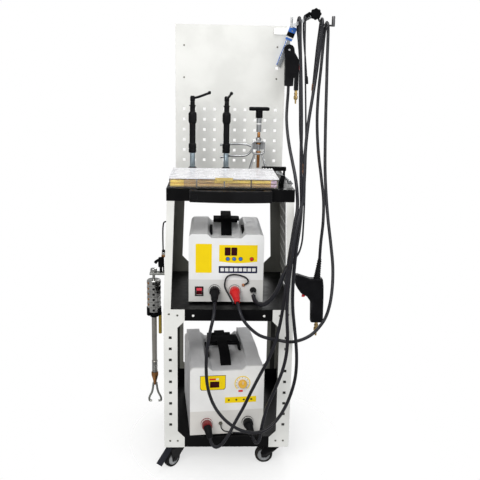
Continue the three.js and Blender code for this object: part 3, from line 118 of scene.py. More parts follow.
class Finish:
    """A material: one method adds any node, the rest are the textures that many pieces share."""

    def __init__(self, name, slot, **plain):
        self.slot = slot
        self.material = bpy.data.materials.new(name)
        self.material.use_nodes = True
        self.tree = self.material.node_tree
        self.shader = self.tree.nodes["Principled BSDF"]
        for socket, value in plain.items():
            self.shader.inputs[socket.replace("_", " ")].default_value = value
        self.here = self.node("ShaderNodeTexCoord", out="Object")

    def put(self, socket, value):
        if isinstance(value, Value):
            self.tree.links.new(value.socket, socket)
        elif socket.type == "RGBA":
            socket.default_value = (*value[:3], 1)
        else:
            socket.default_value = value

    def node(self, kind, settings=None, *values, out=0, **named):
        made = self.tree.nodes.new(kind)
        for name, value in (settings or {}).items():
            setattr(made, name, value)
        for index, value in enumerate(values):
            self.put(made.inputs[index], value)
        for name, value in named.items():
            self.put(made.inputs[name.replace("_", " ")], value)
        return Value(self, made.outputs[out])

    def along(self, axis):
        return self.node("ShaderNodeSeparateXYZ", None, self.here, out=axis)

    def scaled(self, x, y, z, turn=(0, 0, 0)):
        return self.node("ShaderNodeMapping", None, Vector=self.here, Scale=(x, y, z), Rotation=turn)

    def noise(self, scale, detail=3, where=None):
        return self.node("ShaderNodeTexNoise", None, Vector=where or self.here, Scale=scale, Detail=detail)

    def mix(self, factor, first, second):
        made = self.tree.nodes.new("ShaderNodeMix")
        made.data_type = "RGBA"
        for name, value in (("Factor_Float", factor), ("A_Color", first), ("B_Color", second)):
            self.put(next(entry for entry in made.inputs if entry.identifier == name), value)
        return Value(self, next(entry for entry in made.outputs if entry.identifier == "Result_Color"))

    def limits(self, value, low, high, start=0.0, end=1.0):
        return self.node("ShaderNodeMapRange", {"interpolation_type": "SMOOTHSTEP"}, value, low, high,
                         start, end)

    def marked(self, name="edge"):
        return self.node("ShaderNodeAttribute", {"attribute_name": name}, out="Fac")

    def bump(self, height, depth, strength=0.5):
        self.put(self.shader.inputs["Normal"], self.node(
            "ShaderNodeBump", None, Strength=strength, Distance=depth, Height=height, out="Normal"))

    def set(self, **sockets):
        for name, value in sockets.items():
            self.put(self.shader.inputs[name.replace("_", " ")], value)
        return self


def moulded(name, slot, color, dark, roughness, grain=900, depth=0.00012, worn=None, shine=None):
    """Moulded plastic or rubber: fine spark grain, faint cloudiness, paler rubbed edges."""
    blackish = max(color) < 0.1
    worn = worn or ((0.09, 0.09, 0.095) if blackish else (0.6, 0.6, 0.6))
    finish = Finish(name, slot, IOR=1.46, Specular_IOR_Level=shine or (0.1 if blackish else 0.5))
    cloud = finish.limits(finish.noise(14, 4), 0.35, 0.7)
    rubbed = finish.marked() * finish.limits(finish.noise(60, 5), 0.42, 0.7) * 0.35
    finish.set(Base_Color=finish.mix(rubbed, finish.mix(cloud, color, dark), worn),
               Roughness=finish.limits(finish.noise(35, 4), 0.3, 0.7, roughness - 0.06, roughness + 0.08))
    finish.bump(finish.noise(grain, 3), depth)
    return finish


def piece(name, body, finish, forms, stands_for=(), smooth=40):
    """Forms in station millimetres become one mesh that rides on a body."""
    mesh = bpy.data.meshes.new(name)
    whole = bmesh.new()
    for form in forms:
        part = bpy.data.meshes.new("part")
        form.to_mesh(part)
        whole.from_mesh(part)
        bpy.data.meshes.remove(part)
    whole.transform(Matrix.Translation(ORIGIN) @ Matrix.Scale(0.001, 4))
    whole.to_mesh(mesh)
    whole.free()
    mesh.shade_smooth()
    mesh.set_sharp_from_angle(angle=math.radians(smooth))
    made = shown(name, mesh)
    evened = made.modifiers.new("evened", "WEIGHTED_NORMAL")
    evened.keep_sharp = True
    evened.weight = 80
    return dressed(made, body, finish, stands_for)


def fixed(name, finish, forms, stands_for=(), smooth=40):
    """A piece that doesn't move on the trolley."""
    return piece(name, "trolley", finish, forms, stands_for, smooth)


def dressed(made, body, finish, stands_for=()):
    made.data.materials.clear()
    made.data.materials.append(finish.material)
    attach(made, body)
    if stands_for:
        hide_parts(*stands_for)
    return made


def curve_points(points, steps=10):
    """A centripetal curve through the points."""
    route = [Vector(point) for point in points]
    route = [route[0] * 2 - route[1]] + route + [route[-1] * 2 - route[-2]]
    path = []
    for index in range(1, len(route) - 2):
        a, b, c, d = route[index - 1:index + 3]
        before, inside, after = [max((q - p).length, 1e-6) ** 0.5 for p, q in ((a, b), (b, c), (c, d))]
        leave = ((b - a) / before - (c - a) / (before + inside) + (c - b) / inside) * inside
        reach = ((c - b) / inside - (d - b) / (inside + after) + (d - c) / after) * inside
        for step in range(steps):
            t = step / steps
            path.append(b * (2 * t ** 3 - 3 * t ** 2 + 1) + c * (3 * t ** 2 - 2 * t ** 3)
                        + leave * (t ** 3 - 2 * t ** 2 + t) + reach * (t ** 3 - t ** 2))
    return path + [route[-2]]


def swept(points, radius, sides=20):
    """A tube along points, closed at both ends; radius may change along it."""
    radii = radius if isinstance(radius, (list, tuple)) else [radius] * len(points)
    form = bmesh.new()
    points = [Vector(point) for point in points]
    rings = []
    side = None
    for index, point in enumerate(points):
        along = (points[min(index + 1, len(points) - 1)] - points[max(index - 1, 0)]).normalized()
        if side is None:
            side = along.orthogonal().normalized()
        side = (side - along * side.dot(along)).normalized()
        other = along.cross(side)
        rings.append([form.verts.new(point + (side * math.cos(turn) + other * math.sin(turn)) * radii[index])
                      for turn in (2 * math.pi * corner / sides for corner in range(sides))])
    for low, high in zip(rings, rings[1:]):
        for corner in range(sides):
            form.faces.new((low[corner], low[corner - 1], high[corner - 1], high[corner]))
    form.faces.new(rings[0])
    form.faces.new(rings[-1][::-1])
    bmesh.ops.recalc_face_normals(form, faces=form.faces)
    return form


def lathe(profile, sides=48):
    """A closed round body from [radius, height] pairs, about Z."""
    form = bmesh.new()
    rings = []
    for radius, height in profile:
        if radius < 1e-6:
            rings.append([form.verts.new((0, 0, height))])
        else:
            rings.append([form.verts.new((radius * math.cos(turn), radius * math.sin(turn), height))
                          for turn in (2 * math.pi * corner / sides for corner in range(sides))])
    if profile[0][0] > 1e-6:
        rings.append(rings[0])
    for low, high in zip(rings, rings[1:]):
        for corner in range(sides):
            wanted = [low[corner % len(low)], low[(corner + 1) % len(low)],
                      high[(corner + 1) % len(high)], high[corner % len(high)]]
            corners = list(dict.fromkeys(wanted))
            if len(corners) > 2:
                form.faces.new(corners)
    bmesh.ops.recalc_face_normals(form, faces=form.faces)
    return form


def placed(form, x=0, y=0, z=0, turn=0, tip=None):
    """Turns a form about Z (degrees) after tipping its Z axis along a direction, then moves it."""
    tipped = Vector((0, 0, 1)).rotation_difference(Vector(tip)).to_matrix().to_4x4() if tip else Matrix()
    form.transform(Matrix.Translation((x, y, z)) @ Matrix.Rotation(math.radians(turn), 4, "Z") @ tipped)
    return form


def softened(form, width, segments=2, angle=30):
    """Rounds a form's edges and marks the rounding, so that its finish can wear there."""
    mark = form.faces.layers.float.get("edge") or form.faces.layers.float.new("edge")
    sharp = [edge for edge in form.edges
             if len(edge.link_faces) == 2 and edge.calc_face_angle(0) > math.radians(angle)]
    rounded = bmesh.ops.bevel(form, geom=sharp, offset=width, segments=segments, profile=0.5,
                              affect="EDGES", clamp_overlap=True)
    for face in rounded["faces"]:
        face[mark] = 1
    return form


FRONT = (0, -1, 0)
# Where the foot of each welder's front has its middle, and the welder's turn in degrees
WELDERS = {"upper": ((-9.7, 62, 591), 0), "lower": ((-0.5, 15.5, 122), 5.7)}
# Where each plug's middle lies on its welder's front
PLUGS = {"plug_black": ("upper", -38, 41), "plug_red": ("upper", 30, 41),
         "plug_left": ("lower", -70, 43), "plug_right": ("lower", 73, 43)}
cable_sheath = moulded("cable_sheath", "black_rubber", (0.007, 0.007, 0.01), (0.012, 0.012, 0.017), 0.38, 500,
                       shine=0.4)
plug_black = moulded("plug_black", "black_rubber", (0.005, 0.005, 0.006), (0.009, 0.009, 0.01), 0.38)
plug_red = moulded("plug_red", "red_plastic", (0.62, 0.012, 0.014), (0.5, 0.01, 0.012), 0.35,
                   worn=(0.8, 0.2, 0.2))
plug_wine = moulded("plug_wine", "red_plastic", (0.2, 0.01, 0.014), (0.14, 0.008, 0.01), 0.36,
                    worn=(0.4, 0.08, 0.08))
copper = Finish("copper_lugs", "bare_steel", Metallic=1.0)
copper.set(Base_Color=copper.mix(copper.noise(90, 4), (0.72, 0.36, 0.2), (0.5, 0.24, 0.13)),
           Roughness=copper.limits(copper.noise(200, 4), 0.3, 0.7, 0.25, 0.45))


def on_welder(welder, form, x=0, y=0, z=0, tip=None):
    """Places a form by a welder's own millimetres, from the foot of its front's middle."""
    (left, front, floor), turn = WELDERS[welder]
    return placed(placed(form, x, y, z, tip=tip), left, front, floor, turn)


def fluted(levels, radius, steps=96):
    """A round body from (height, share) levels; its radius changes round it by a rule."""
    form = bmesh.new()
    rings = []
    for height, share in levels:
        ring = []
        for corner in range(steps):
            turn, reach = 2 * math.pi * corner / steps, radius(corner, share) * share
            ring.append(form.verts.new((reach * math.cos(turn), reach * math.sin(turn), height)))
        rings.append(ring)
    for low, high in zip(rings, rings[1:]):
        for corner in range(steps):
            form.faces.new((low[corner - 1], low[corner], high[corner], high[corner - 1]))
    form.faces.new(rings[0][::-1])
    form.faces.new(rings[-1])
    return form


def cable_plug(name, swing, collar_finish, boot_finish):
    """A round collar with finger grooves, and a boot that droops to the cable."""
    welder, x, z = PLUGS[name]
    droop = math.radians(34)
    seat, boot_start = -5.3, 18.75
    collar = fluted([(0, 0.955), (1.2, 0.99), (2.5, 1), (18, 1), (21, 0.95), (23.4, 0.88), (24, 0.8)],
                    lambda corner, share: 16.6 if corner % 8 < 2 else 17.5)
    boot = lathe([[0, 0], [14, 0], [13.6, 8], [13.2, 14], [12.6, 20], [11.9, 26], [11.5, 29], [9.6, 29.6],
                  [9.4, 32], [10.2, 32.6], [10, 35], [8.9, 35.6], [8.8, 38], [9.2, 38.6], [9, 42], [0, 42]])
    droops = Vector((math.sin(swing), -math.cos(droop), -math.sin(droop))).normalized()
    nodes = [f"{welder}_welder_{name}"]
    collar = on_welder(welder, collar, x, seat, z, FRONT)
    boot = on_welder(welder, boot, x, seat - boot_start, z, droops)
    return (fixed(f"{welder}_{name}_collar", collar_finish, [collar], nodes, 30),
            fixed(f"{welder}_{name}_boot", boot_finish, [boot], nodes))


def lug(tip, back):
    """A crimped copper lug on a cable's hidden end."""
    long = 26
    along = (Vector(tip) - Vector(back)).normalized()
    crimp = lathe([[0, -14], [6.3, -14], [6.6, -12], [6.6, 8], [5, 10], [0, 10]], 32)
    flat = [[-7, 6], [7, 6], [7, long - 4], [4, long], [-4, long], [-7, long - 4]]
    tongue = softened(prism(flat, 3, "front", -1.5), 0.8)
    return [placed(form, *tip, tip=along) for form in (crimp, tongue)]


def prism(outline, depth, plane, start=0.0):
    """An outline pushed through: 'front' outlines are X and Z, 'side' Y and Z, 'floor' X and Y."""
    lift = {"front": lambda u, v, w: (u, w, v), "side": lambda u, v, w: (w, u, v),
            "floor": lambda u, v, w: (u, v, w)}[plane]
    form = bmesh.new()
    near = [form.verts.new(lift(u, v, start)) for u, v in outline]
    far = [form.verts.new(lift(u, v, start + depth)) for u, v in outline]
    form.faces.new(near)
    form.faces.new(far[::-1])
    for corner in range(len(outline)):
        form.faces.new((near[corner], far[corner], far[corner - 1], near[corner - 1]))
    bmesh.ops.recalc_face_normals(form, faces=form.faces)
    return form


cable_routes = {
    "gun_cable_low": [
        [27.9, 2.9, 608.3], [30.2, -7.7, 601.2], [33.5, -18, 592], [38, -27, 580], [47, -35, 562],
        [67, -40, 538], [97, -43, 514], [128, -38, 500], [165, -36, 492], [203, -42, 489], [240, -36, 494],
        [274, -20, 505], [304, 8, 521], [330, 38, 545], [348, 68, 582], [359, 98, 635], [362, 125, 700],
        [356, 150, 771], [347, 180, 854], [341, 210, 937], [338, 240, 1021], [339, 270, 1106],
        [341, 300, 1200], [343, 325, 1300], [343, 340, 1400], [343, 345, 1455], [343, 349, 1490],
        [343, 360, 1517], [343, 386, 1529.5], [343, 412, 1517], [342, 423, 1490], [340, 426, 1450],
        [335, 421, 1370], [328, 408, 1287], [324, 385, 1187], [327, 345, 1081], [336, 300, 984],
        [343, 270, 908], [341, 245, 831], [334, 230, 761], [332, 226, 712], [332, 226, 699.8]],
    "gun_cable_up": [
        [-57.9, -49.8, 141.2], [-55, -60.3, 134], [-49, -72, 128.5], [-38, -81, 127], [-21, -83, 137],
        [2, -77, 168], [28, -62, 214], [52, -60, 262], [76, -58, 316], [102, -56, 372], [130, -55, 430],
        [152, -54, 493], [167, -50, 561], [177, -43, 635], [184, -35, 708], [191, -27, 779],
        [198, -20, 830], [205, -14, 880], [213, -4, 927], [214, 24, 974], [212, 70, 1018], [208, 130, 1060],
        [204, 200, 1105], [203, 270, 1150], [206, 340, 1195], [212, 390, 1238], [216, 411, 1278],
        [216.5, 414, 1305.2]],
    "ground_cable_up": [
        [-47.7, 2.3, 607.9], [-47.7, -8.5, 600.7], [-48.5, -20, 591], [-50, -31, 577], [-54, -40, 558],
        [-60, -47, 532], [-67, -54, 496], [-72, -54, 450], [-73, -56, 398], [-69, -58, 344],
        [-57, -62, 297], [-37, -70, 258], [-8, -80, 226], [24, -86, 203], [60, -86, 187], [100, -84, 183],
        [138, -78, 197], [169, -70, 228], [193, -63, 268], [211, -58, 316], [222, -57, 370],
        [224, -58, 428], [220, -58, 486], [213, -54, 544], [206, -47, 606], [204, -43, 667],
        [206, -41, 732], [211, -36, 802], [220, -24, 868], [227, 4, 932], [230, 58, 1005], [234, 115, 1082],
        [239, 170, 1169], [242, 225, 1261], [244, 280, 1355], [244, 320, 1430], [244, 342, 1480],
        [244, 348, 1505], [244, 361, 1530], [244, 389, 1543.4], [244, 417, 1530], [246, 429, 1504],
        [252, 434, 1465], [260, 435, 1391], [263, 432, 1300], [266, 426, 1214], [270, 428, 1140],
        [278, 430, 1070], [287, 432, 1005]],
    "ground_cable_low": [
        [86.35, -35.1, 141.4], [89.9, -45.4, 134.3], [95, -56, 130.5], [102, -65, 134], [109, -68, 150],
        [114, -67, 188], [121, -62, 222], [132, -57, 262], [148, -58, 306], [164, -61, 352],
        [178, -64, 398], [188, -66, 452], [190, -68, 514], [186, -66, 577], [185, -63, 638],
        [188, -59, 698], [194, -53, 762], [202, -46, 831], [213, -36, 895], [228, -10, 958],
        [238, 42, 1028], [247, 108, 1106], [261, 170, 1183], [279, 228, 1261], [297, 284, 1342],
        [311, 322, 1425], [318, 340, 1475], [321, 349, 1502], [324, 361, 1527], [325, 386, 1541],
        [325, 411, 1527], [324, 423, 1500], [320, 428, 1450], [316, 432, 1380], [311, 430, 1300]],
    "control_cable": [
        [82.3, 47, 624.6], [84, 39, 614], [90, 27, 604], [101, 12, 600], [115, 0, 604], [131, -7, 617],
        [148, -11, 640], [163, -14, 672], [176, -14, 712], [190, -12, 740], [206, -12, 760], [222, -6, 780],
        [234, 10, 812], [241, 40, 862], [247, 80, 932], [252, 125, 1010], [257, 170, 1090],
        [260, 220, 1180], [262, 272, 1280], [263, 322, 1380], [263, 352, 1460], [263, 362, 1506],
        [263, 371, 1538], [263, 389, 1549.2], [263, 407, 1538], [264, 416, 1506], [269, 422, 1460],
        [277, 424, 1400], [285, 426, 1330]],
}
cable_radii = {name: 3.0 if name == "control_cable" else 5.5 for name in cable_routes}
plugs = {
    "gun_cable_low": cable_plug("plug_red", 0.18, plug_red, plug_red),
    "gun_cable_up": cable_plug("plug_left", 0.15, plug_wine, plug_black),
    "ground_cable_up": cable_plug("plug_black", 0, plug_black, plug_black),
    "ground_cable_low": cable_plug("plug_right", 0.2, plug_black, plug_black),
    "control_cable": (),
}
for name, route in cable_routes.items():
    line = curve_points(route)
    data = bpy.data.curves.new(name, "CURVE")
    data.dimensions = "3D"
    data.bevel_depth = cable_radii[name] / 1000
    data.bevel_resolution = 4
    data.use_fill_caps = True
    spline = data.splines.new("POLY")
    spline.points.add(len(line) - 1)
    for point, place in zip(spline.points, line):
        point.co = (*metres(*place), 1)
    cable = shown(f"{name}_sheath", data)
    dressed(cable, "trolley", cable_sheath, [name])
    fittings = list(plugs[name])
    if name.startswith("ground"):
        fittings.append(fixed(f"{name}_lug", copper, lug(line[-1], line[-3])))
    if name == "control_cable":
        end = placed(lathe([[0, -12], [4.4, -12], [5.2, -6], [5.2, 14], [4.2, 16], [0, 16]], 32), *line[-1],
                     tip=line[-1] - line[-3])
        sleeve = swept(line[3:101], 7.2)
        fittings.append(fixed("control_cable_connector", plug_black, [end]))
        fittings.append(fixed("control_cable_sleeve", cable_sheath, [sleeve], ["control_cable"]))
    reach = sum((b - a).length for a, b in zip(line, line[1:])) / 1000
    far = "object" if name.startswith("gun") else "connector" if name == "control_cable" else "fitting"
    cable_radii[name] * 0.002

# Corner posts
# Folded angles of 2 mm sheet steel, powder coated off-white, slotted so that the trays can be
# bolted at any height; above the middle tray they lean in towards the top tray.
HALF_WIDE, DEEP = 216, 450
LEAN = 13.8 / 364


def cad_forms(node, bevel, segments=2, angle=32, joined=True):
    """A CAD node's own shape with its doubles merged, flat faces joined and edges rounded."""
    form = bmesh.new()
    form.from_mesh(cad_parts[node].data)
    form.transform(Matrix.Scale(1000, 4) @ Matrix.Translation(-ORIGIN))
    bmesh.ops.remove_doubles(form, verts=form.verts, dist=0.002)
    if joined:
        bmesh.ops.dissolve_limit(form, angle_limit=math.radians(1), verts=form.verts, edges=form.edges)
    return softened(form, bevel, segments, angle)


def mark_shaded_inside(form, x, y=0):
    """Marks the faces of a folded sheet that look towards the inside of the trolley, where the white coat
    paints shade.
    """
    mark = form.faces.layers.float.new("inside")
    form.normal_update()
    for face in form.faces:
        face[mark] = 1 if face.normal.x * x > 0.5 or face.normal.y * y > 0.5 else 0
    return form


def oblong(left, bottom, right, top):
    return [(left, bottom), (right, bottom), (right, top), (left, top)]


def powder_coat(name, slot, color, dark, roughness, chip, inner=None, shine=0.5):
    """Baked powder paint: orange peel, dust in the low places, chipped and rubbed edges, and an inner colour
    on faces marked inside, as painted shade.
    """
    finish = Finish(name, slot, IOR=1.5, Specular_IOR_Level=shine)
    if inner:
        color = finish.mix(finish.marked("inside"), color, inner)
        dark = finish.mix(finish.marked("inside"), dark, inner)
    cloud = finish.limits(finish.noise(9, 5), 0.35, 0.72)
    rubbed = finish.marked() * finish.limits(finish.noise(90, 6), 0.5, 0.62) * 0.5
    specks = finish.limits(finish.noise(420, 2), 0.7, 0.78) * 0.25
    finish.set(Base_Color=finish.mix(rubbed, finish.mix(specks, finish.mix(cloud, color, dark), dark), chip),
               Roughness=finish.limits(finish.noise(40, 4), 0.3, 0.7, roughness - 0.05, roughness + 0.09))
    finish.bump(finish.noise(650, 2), 0.0001)
    return finish


# The inner colour is painted shade: inward faces of the posts and panels turn dark grey-olive, as if in shadow
white_coat = powder_coat("white_coat", "white_paint", (0.78, 0.785, 0.76), (0.7, 0.705, 0.68), 0.48,
                         (0.5, 0.5, 0.48), inner=(0.17, 0.17, 0.15))
# Near-black coat for strips that stand in for the shadow behind the posts' slots: painted shadow
slot_shadow_coat = powder_coat("slot_shadow_coat", "black_paint", (0.02, 0.02, 0.018), (0.03, 0.03, 0.027), 0.6,
                         (0.06, 0.06, 0.05), shine=0.2)
for end, behind, slot_shadow_y in (("front", 1, 2.05), ("rear", -1, DEEP - 2.85)):
    for hand, inward in (("left", 1), ("right", -1)):
        post = f"post_{end}_{hand}"
        # Inward faces take the white coat's painted shade
        sheet = mark_shaded_inside(cad_forms(post, 0.5, joined=False), inward, behind)
        fixed(f"{post}_sheet", white_coat, [sheet], [post])
        # A near-black strip inside the post is painted shadow, darkening its row of slots
        strip = oblong(-inward * (HALF_WIDE - 13), 150, -inward * (HALF_WIDE - 31), 500)
        fixed(f"{post}_slot_shadow", slot_shadow_coat, [prism(strip, 0.8, "front", slot_shadow_y)], [post])


def repeated(name, finish, points, tree, body="trolley", **sizes):
    """Runs a node tree over points with a facing each, and keeps the result as a plain mesh."""
    mesh = bpy.data.meshes.new(name)
    mesh.from_pydata([metres(*place) for place, _ in points], [], [])
    facing = mesh.attributes.new("facing", "FLOAT_VECTOR", "POINT")
    for index, (_, direction) in enumerate(points):
        facing.data[index].vector = direction
    made = shown(name, mesh)
    modifier = made.modifiers.new("repeat", "NODES")
    modifier.node_group = tree
    inputs = {"Finish": finish.material, **sizes}
    for item in tree.interface.items_tree:
        if item.item_type == "SOCKET" and item.in_out == "INPUT" and item.name in inputs:
            modifier[item.identifier] = inputs[item.name]
    bpy.context.view_layer.update()
    result = bpy.data.meshes.new_from_object(made.evaluated_get(bpy.context.evaluated_depsgraph_get()))
    made.modifiers.remove(modifier)
    made.data = result
    result.shade_smooth()
    result.set_sharp_from_angle(angle=math.radians(40))
    return dressed(made, body, finish)


def new_tree(name, sizes):
    """A node tree with geometry in and out and a named number for each size."""
    tree = bpy.data.node_groups.new(name, "GeometryNodeTree")
    tree.interface.new_socket("Geometry", in_out="INPUT", socket_type="NodeSocketGeometry")
    tree.interface.new_socket("Geometry", in_out="OUTPUT", socket_type="NodeSocketGeometry")
    tree.interface.new_socket("Finish", in_out="INPUT", socket_type="NodeSocketMaterial")
    for label, value in sizes.items():
        kind = "NodeSocketInt" if isinstance(value, int) else "NodeSocketFloat"
        tree.interface.new_socket(label, in_out="INPUT", socket_type=kind).default_value = value
    enter = tree.nodes.new("NodeGroupInput")
    leave = tree.nodes.new("NodeGroupOutput")

    def node(kind, settings=None, **sockets):
        made = tree.nodes.new(kind)
        for label, value in (settings or {}).items():
            setattr(made, label, value)
        for label, value in sockets.items():
            socket = made.inputs[label.replace("_", " ")]
            if isinstance(value, bpy.types.NodeSocket):
                tree.links.new(value, socket)
            else:
                socket.default_value = value
        return made.outputs[0]

    return tree, enter.outputs, leave.inputs, node


def facing_out(node, given):
    """Turns each copy's Z axis the way that its point faces."""
    facing = node("GeometryNodeInputNamedAttribute", {"data_type": "FLOAT_VECTOR"}, Name="facing")
    return node("FunctionNodeAlignRotationToVector", {"axis": "Z"}, Vector=facing)


def copier(name, shape, turn=facing_out, **sizes):
    """A node tree that sets a shape on every point and gives it a finish."""
    tree, given, result, node = new_tree(name, sizes)
    copies = node("GeometryNodeInstanceOnPoints", Points=given["Geometry"], Instance=shape(node, given),
                  Rotation=turn(node, given))
    copies = node("GeometryNodeRealizeInstances", Geometry=copies)
    copies = node("GeometryNodeSetMaterial", Geometry=copies, Material=given["Finish"])
    tree.links.new(copies, result["Geometry"])
    return tree


def button_head(node, given):
    """A screw's domed head with a hexagon socket sunk in it."""
    dome = node("GeometryNodeMeshUVSphere", Segments=20, Rings=10, Radius=1.0)
    squat = node("ShaderNodeCombineXYZ", X=given["Radius"], Y=given["Radius"], Z=given["Height"])
    dome = node("GeometryNodeTransform", Geometry=dome, Scale=squat)
    key = node("GeometryNodeMeshCylinder", Vertices=6, Radius=0.0014, Depth=0.004)
    key = node("GeometryNodeTransform", Geometry=key, Translation=(0, 0, 0.003))
    return node("GeometryNodeMeshBoolean", {"operation": "DIFFERENCE"}, Mesh_1=dome, Mesh_2=key)


def brushed(name, slot, color, dark, roughness, metallic=1.0):
    """Bare machined metal: fine drawn lines, smudges, and brighter rubbed edges."""
    finish = Finish(name, slot, Metallic=metallic)
    lines = finish.noise(1, 3, finish.scaled(60, 60, 900))
    smudge = finish.limits(finish.noise(25, 5), 0.35, 0.7)
    finish.set(Base_Color=finish.mix(finish.marked() * 0.6, finish.mix(smudge, color, dark), (0.9, 0.9, 0.9)),
               Roughness=finish.limits(lines + smudge * 0.5, 0.4, 1.1, roughness - 0.06, roughness + 0.14))
    finish.bump(lines, 0.00006, 0.3)
    return finish


screw_tree = copier("button_screws", button_head, Radius=0.0035, Height=0.0022)
zinc = brushed("zinc_screws", "bare_steel", (0.2, 0.2, 0.17), (0.12, 0.12, 0.1), 0.4)
post_screws = [((side * (HALF_WIDE - inset), 0, height), FRONT)
               for side in (-1, 1) for inset, height in ((18, 568), (46, 564), (20, 103), (46, 103))]
repeated("post_screws", zinc, post_screws, screw_tree, Radius=0.0036)

# Perforated side panels
# Thin sheet with square holes at tool board pitch, riveted inside the posts of the upper bay.
for hand, inward in (("left", 1), ("right", -1)):
    # Inward faces take the white coat's painted shade
    panel = mark_shaded_inside(cad_forms(f"side_panel_{hand}", 0.3, 1, joined=False), inward)
    fixed(f"side_panel_{hand}_sheet", white_coat, [panel], [f"side_panel_{hand}"])

# Trays
# Three folded black trays with lips turned down, bolted to the posts and rubbed at their edges;
# two white plugs close spare holes in the middle tray's front.
black_coat = powder_coat("black_coat", "black_paint", (0.0016, 0.0016, 0.002), (0.004, 0.004, 0.0045), 0.33,
                         (0.04, 0.04, 0.04), shine=0.1)
for tray in ("bottom_tray", "middle_tray", "top_tray"):
    fixed(f"{tray}_sheet", black_coat, [cad_forms(tray, 0.8, 3)], [tray])
white_nylon = moulded("white_nylon", "white_paint", (0.85, 0.85, 0.84), (0.8, 0.8, 0.79), 0.4,
                      worn=(0.7, 0.7, 0.7))
repeated("tray_plugs", white_nylon, [((x, 2.2, 562), FRONT) for x in (-118, 118)], screw_tree,
         Radius=0.0042, Height=0.0016)

# Push handle
# A bowed bar of moulded black plastic across the front, with a square seat sunk in it near each
# end, where it is held to the top tray.


def around(x, y, radius, angles):
    """Points on a circle, at angles in degrees."""
    return [(x + radius * math.cos(math.radians(angle)), y + radius * math.sin(math.radians(angle)))
            for angle in angles]


def rounded(left, bottom, right, top, radius, steps=5):
    """A rectangle with round corners."""
    corners = [(right - radius, top - radius, 0), (left + radius, top - radius, 90),
               (left + radius, bottom + radius, 180), (right - radius, bottom + radius, 270)]
    return [point for x, y, start in corners
            for point in around(x, y, radius, [start + 90 * step / steps for step in range(steps + 1)])]


handle_plastic = moulded("handle_plastic", "black_plastic", (0.005, 0.005, 0.0055), (0.008, 0.008, 0.009),
                         0.36)
fixed("push_handle_bar", handle_plastic, [cad_forms("push_handle", 2.6, 4, 20)], ["push_handle"])
seats = []
for side in (-1, 1):
    seat = softened(prism(rounded(-8, -8, 8, 8, 1.6), 1.6, "front"), 0.4)
    seats.append(placed(seat, side * 112, -29.7, 966, side * 9.1))
fixed("push_handle_seats", plug_black, seats, ["push_handle"])

# Tool board
# A tall perforated sheet with folded edges, screwed behind the top tray.
fixed("tool_board_sheet", white_coat, [cad_forms("tool_board", 0.4, 1, joined=False)], ["tool_board"])
repeated("board_screws", zinc, [((x, DEEP + 2, z), FRONT) for x in (-167, 175) for z in (1330, 1444)],
         screw_tree, Radius=0.0032, Height=0.0016)

# Casters
# Pressed steel forks on a swivel head, each with a rubber tyred wheel; one has a brake pedal.
fork_steel = powder_coat("fork_steel", "black_paint", (0.006, 0.006, 0.007), (0.011, 0.011, 0.012), 0.38,
                         (0.06, 0.06, 0.06), shine=0.25)
tyre_rubber = moulded("tyre_rubber", "wheel_tyre", (0.011, 0.011, 0.012), (0.024, 0.023, 0.022), 0.55, 700,
                      worn=(0.09, 0.085, 0.08))
hub_plastic = moulded("hub_plastic", "wheel_tyre", (0.4, 0.41, 0.42), (0.3, 0.31, 0.32), 0.4)
pedal_plastic = moulded("pedal_plastic", "pedal_plastic", (0.02, 0.021, 0.028), (0.012, 0.013, 0.018), 0.4)
wheel_radius, trail, stem_x, stem_y = 31.5, 34, 167, 36
caster_turns = {"front_left": (-stem_x, stem_y, 225), "front_right": (stem_x, stem_y, 180),
                "rear_left": (-stem_x, DEEP - stem_y, 90), "rear_right": (stem_x, DEEP - stem_y, 20)}


def mirrored(profile):
    """A wheel's profile on both sides of its middle, from one side's [radius, distance] pairs."""
    return [[radius, -out] for radius, out in profile] + [pair for pair in reversed(profile) if pair[1]]


for corner, (x, y, turn) in caster_turns.items():
    fork, wheel = f"caster_fork_{corner}", f"caster_wheel_{corner}"
    piece(f"fork_{corner}", f"caster_{corner}", fork_steel, [cad_forms(fork, 0.7)], [fork])
    tyre = lathe(mirrored([[21.8, 9.9], [27, 9.9], [29.5, 9], [30.8, 6.6], [31.4, 3.5],
                           [wheel_radius, 0]]), 64)
    hub = lathe(mirrored([[4.3, 11], [9.2, 11], [10.2, 9.8], [10.7, 6.2], [19.6, 5.9], [20.3, 6.3], [21, 9.6],
                          [22.2, 9.9]]), 64)
    for form in (tyre, hub):
        placed(form, trail, 0, wheel_radius, tip=FRONT)
        placed(form, x, y, 0, turn)
    piece(f"tyre_{corner}", f"wheel_{corner}", tyre_rubber, [tyre], [wheel], 30)
    piece(f"hub_{corner}", f"wheel_{corner}", hub_plastic, [hub], [wheel], 30)
piece("brake_pedal_plate", "brake_pedal", pedal_plastic, [cad_forms("brake_pedal_front_left", 1.2, 3)],
      ["brake_pedal_front_left"])

# Upper welder
# A moulded plastic housing: a pale front bezel with a greyer band at its foot, a pale cover with
# a sunk middle for the strap handle, coloured control panels, four buttons and a lit rocker.
# The level above which each welder's top is pressed down, and the share of its height that stays
TOPS = {"upper": (840, 1), "lower": (374, 0.64)}


def pressed(form, level, share):
    """What stands above a level, in mm above the floor, comes down towards it."""
    for vert in form.verts:
        vert.co.z = min(vert.co.z, level + (vert.co.z - level) * share)
    return form


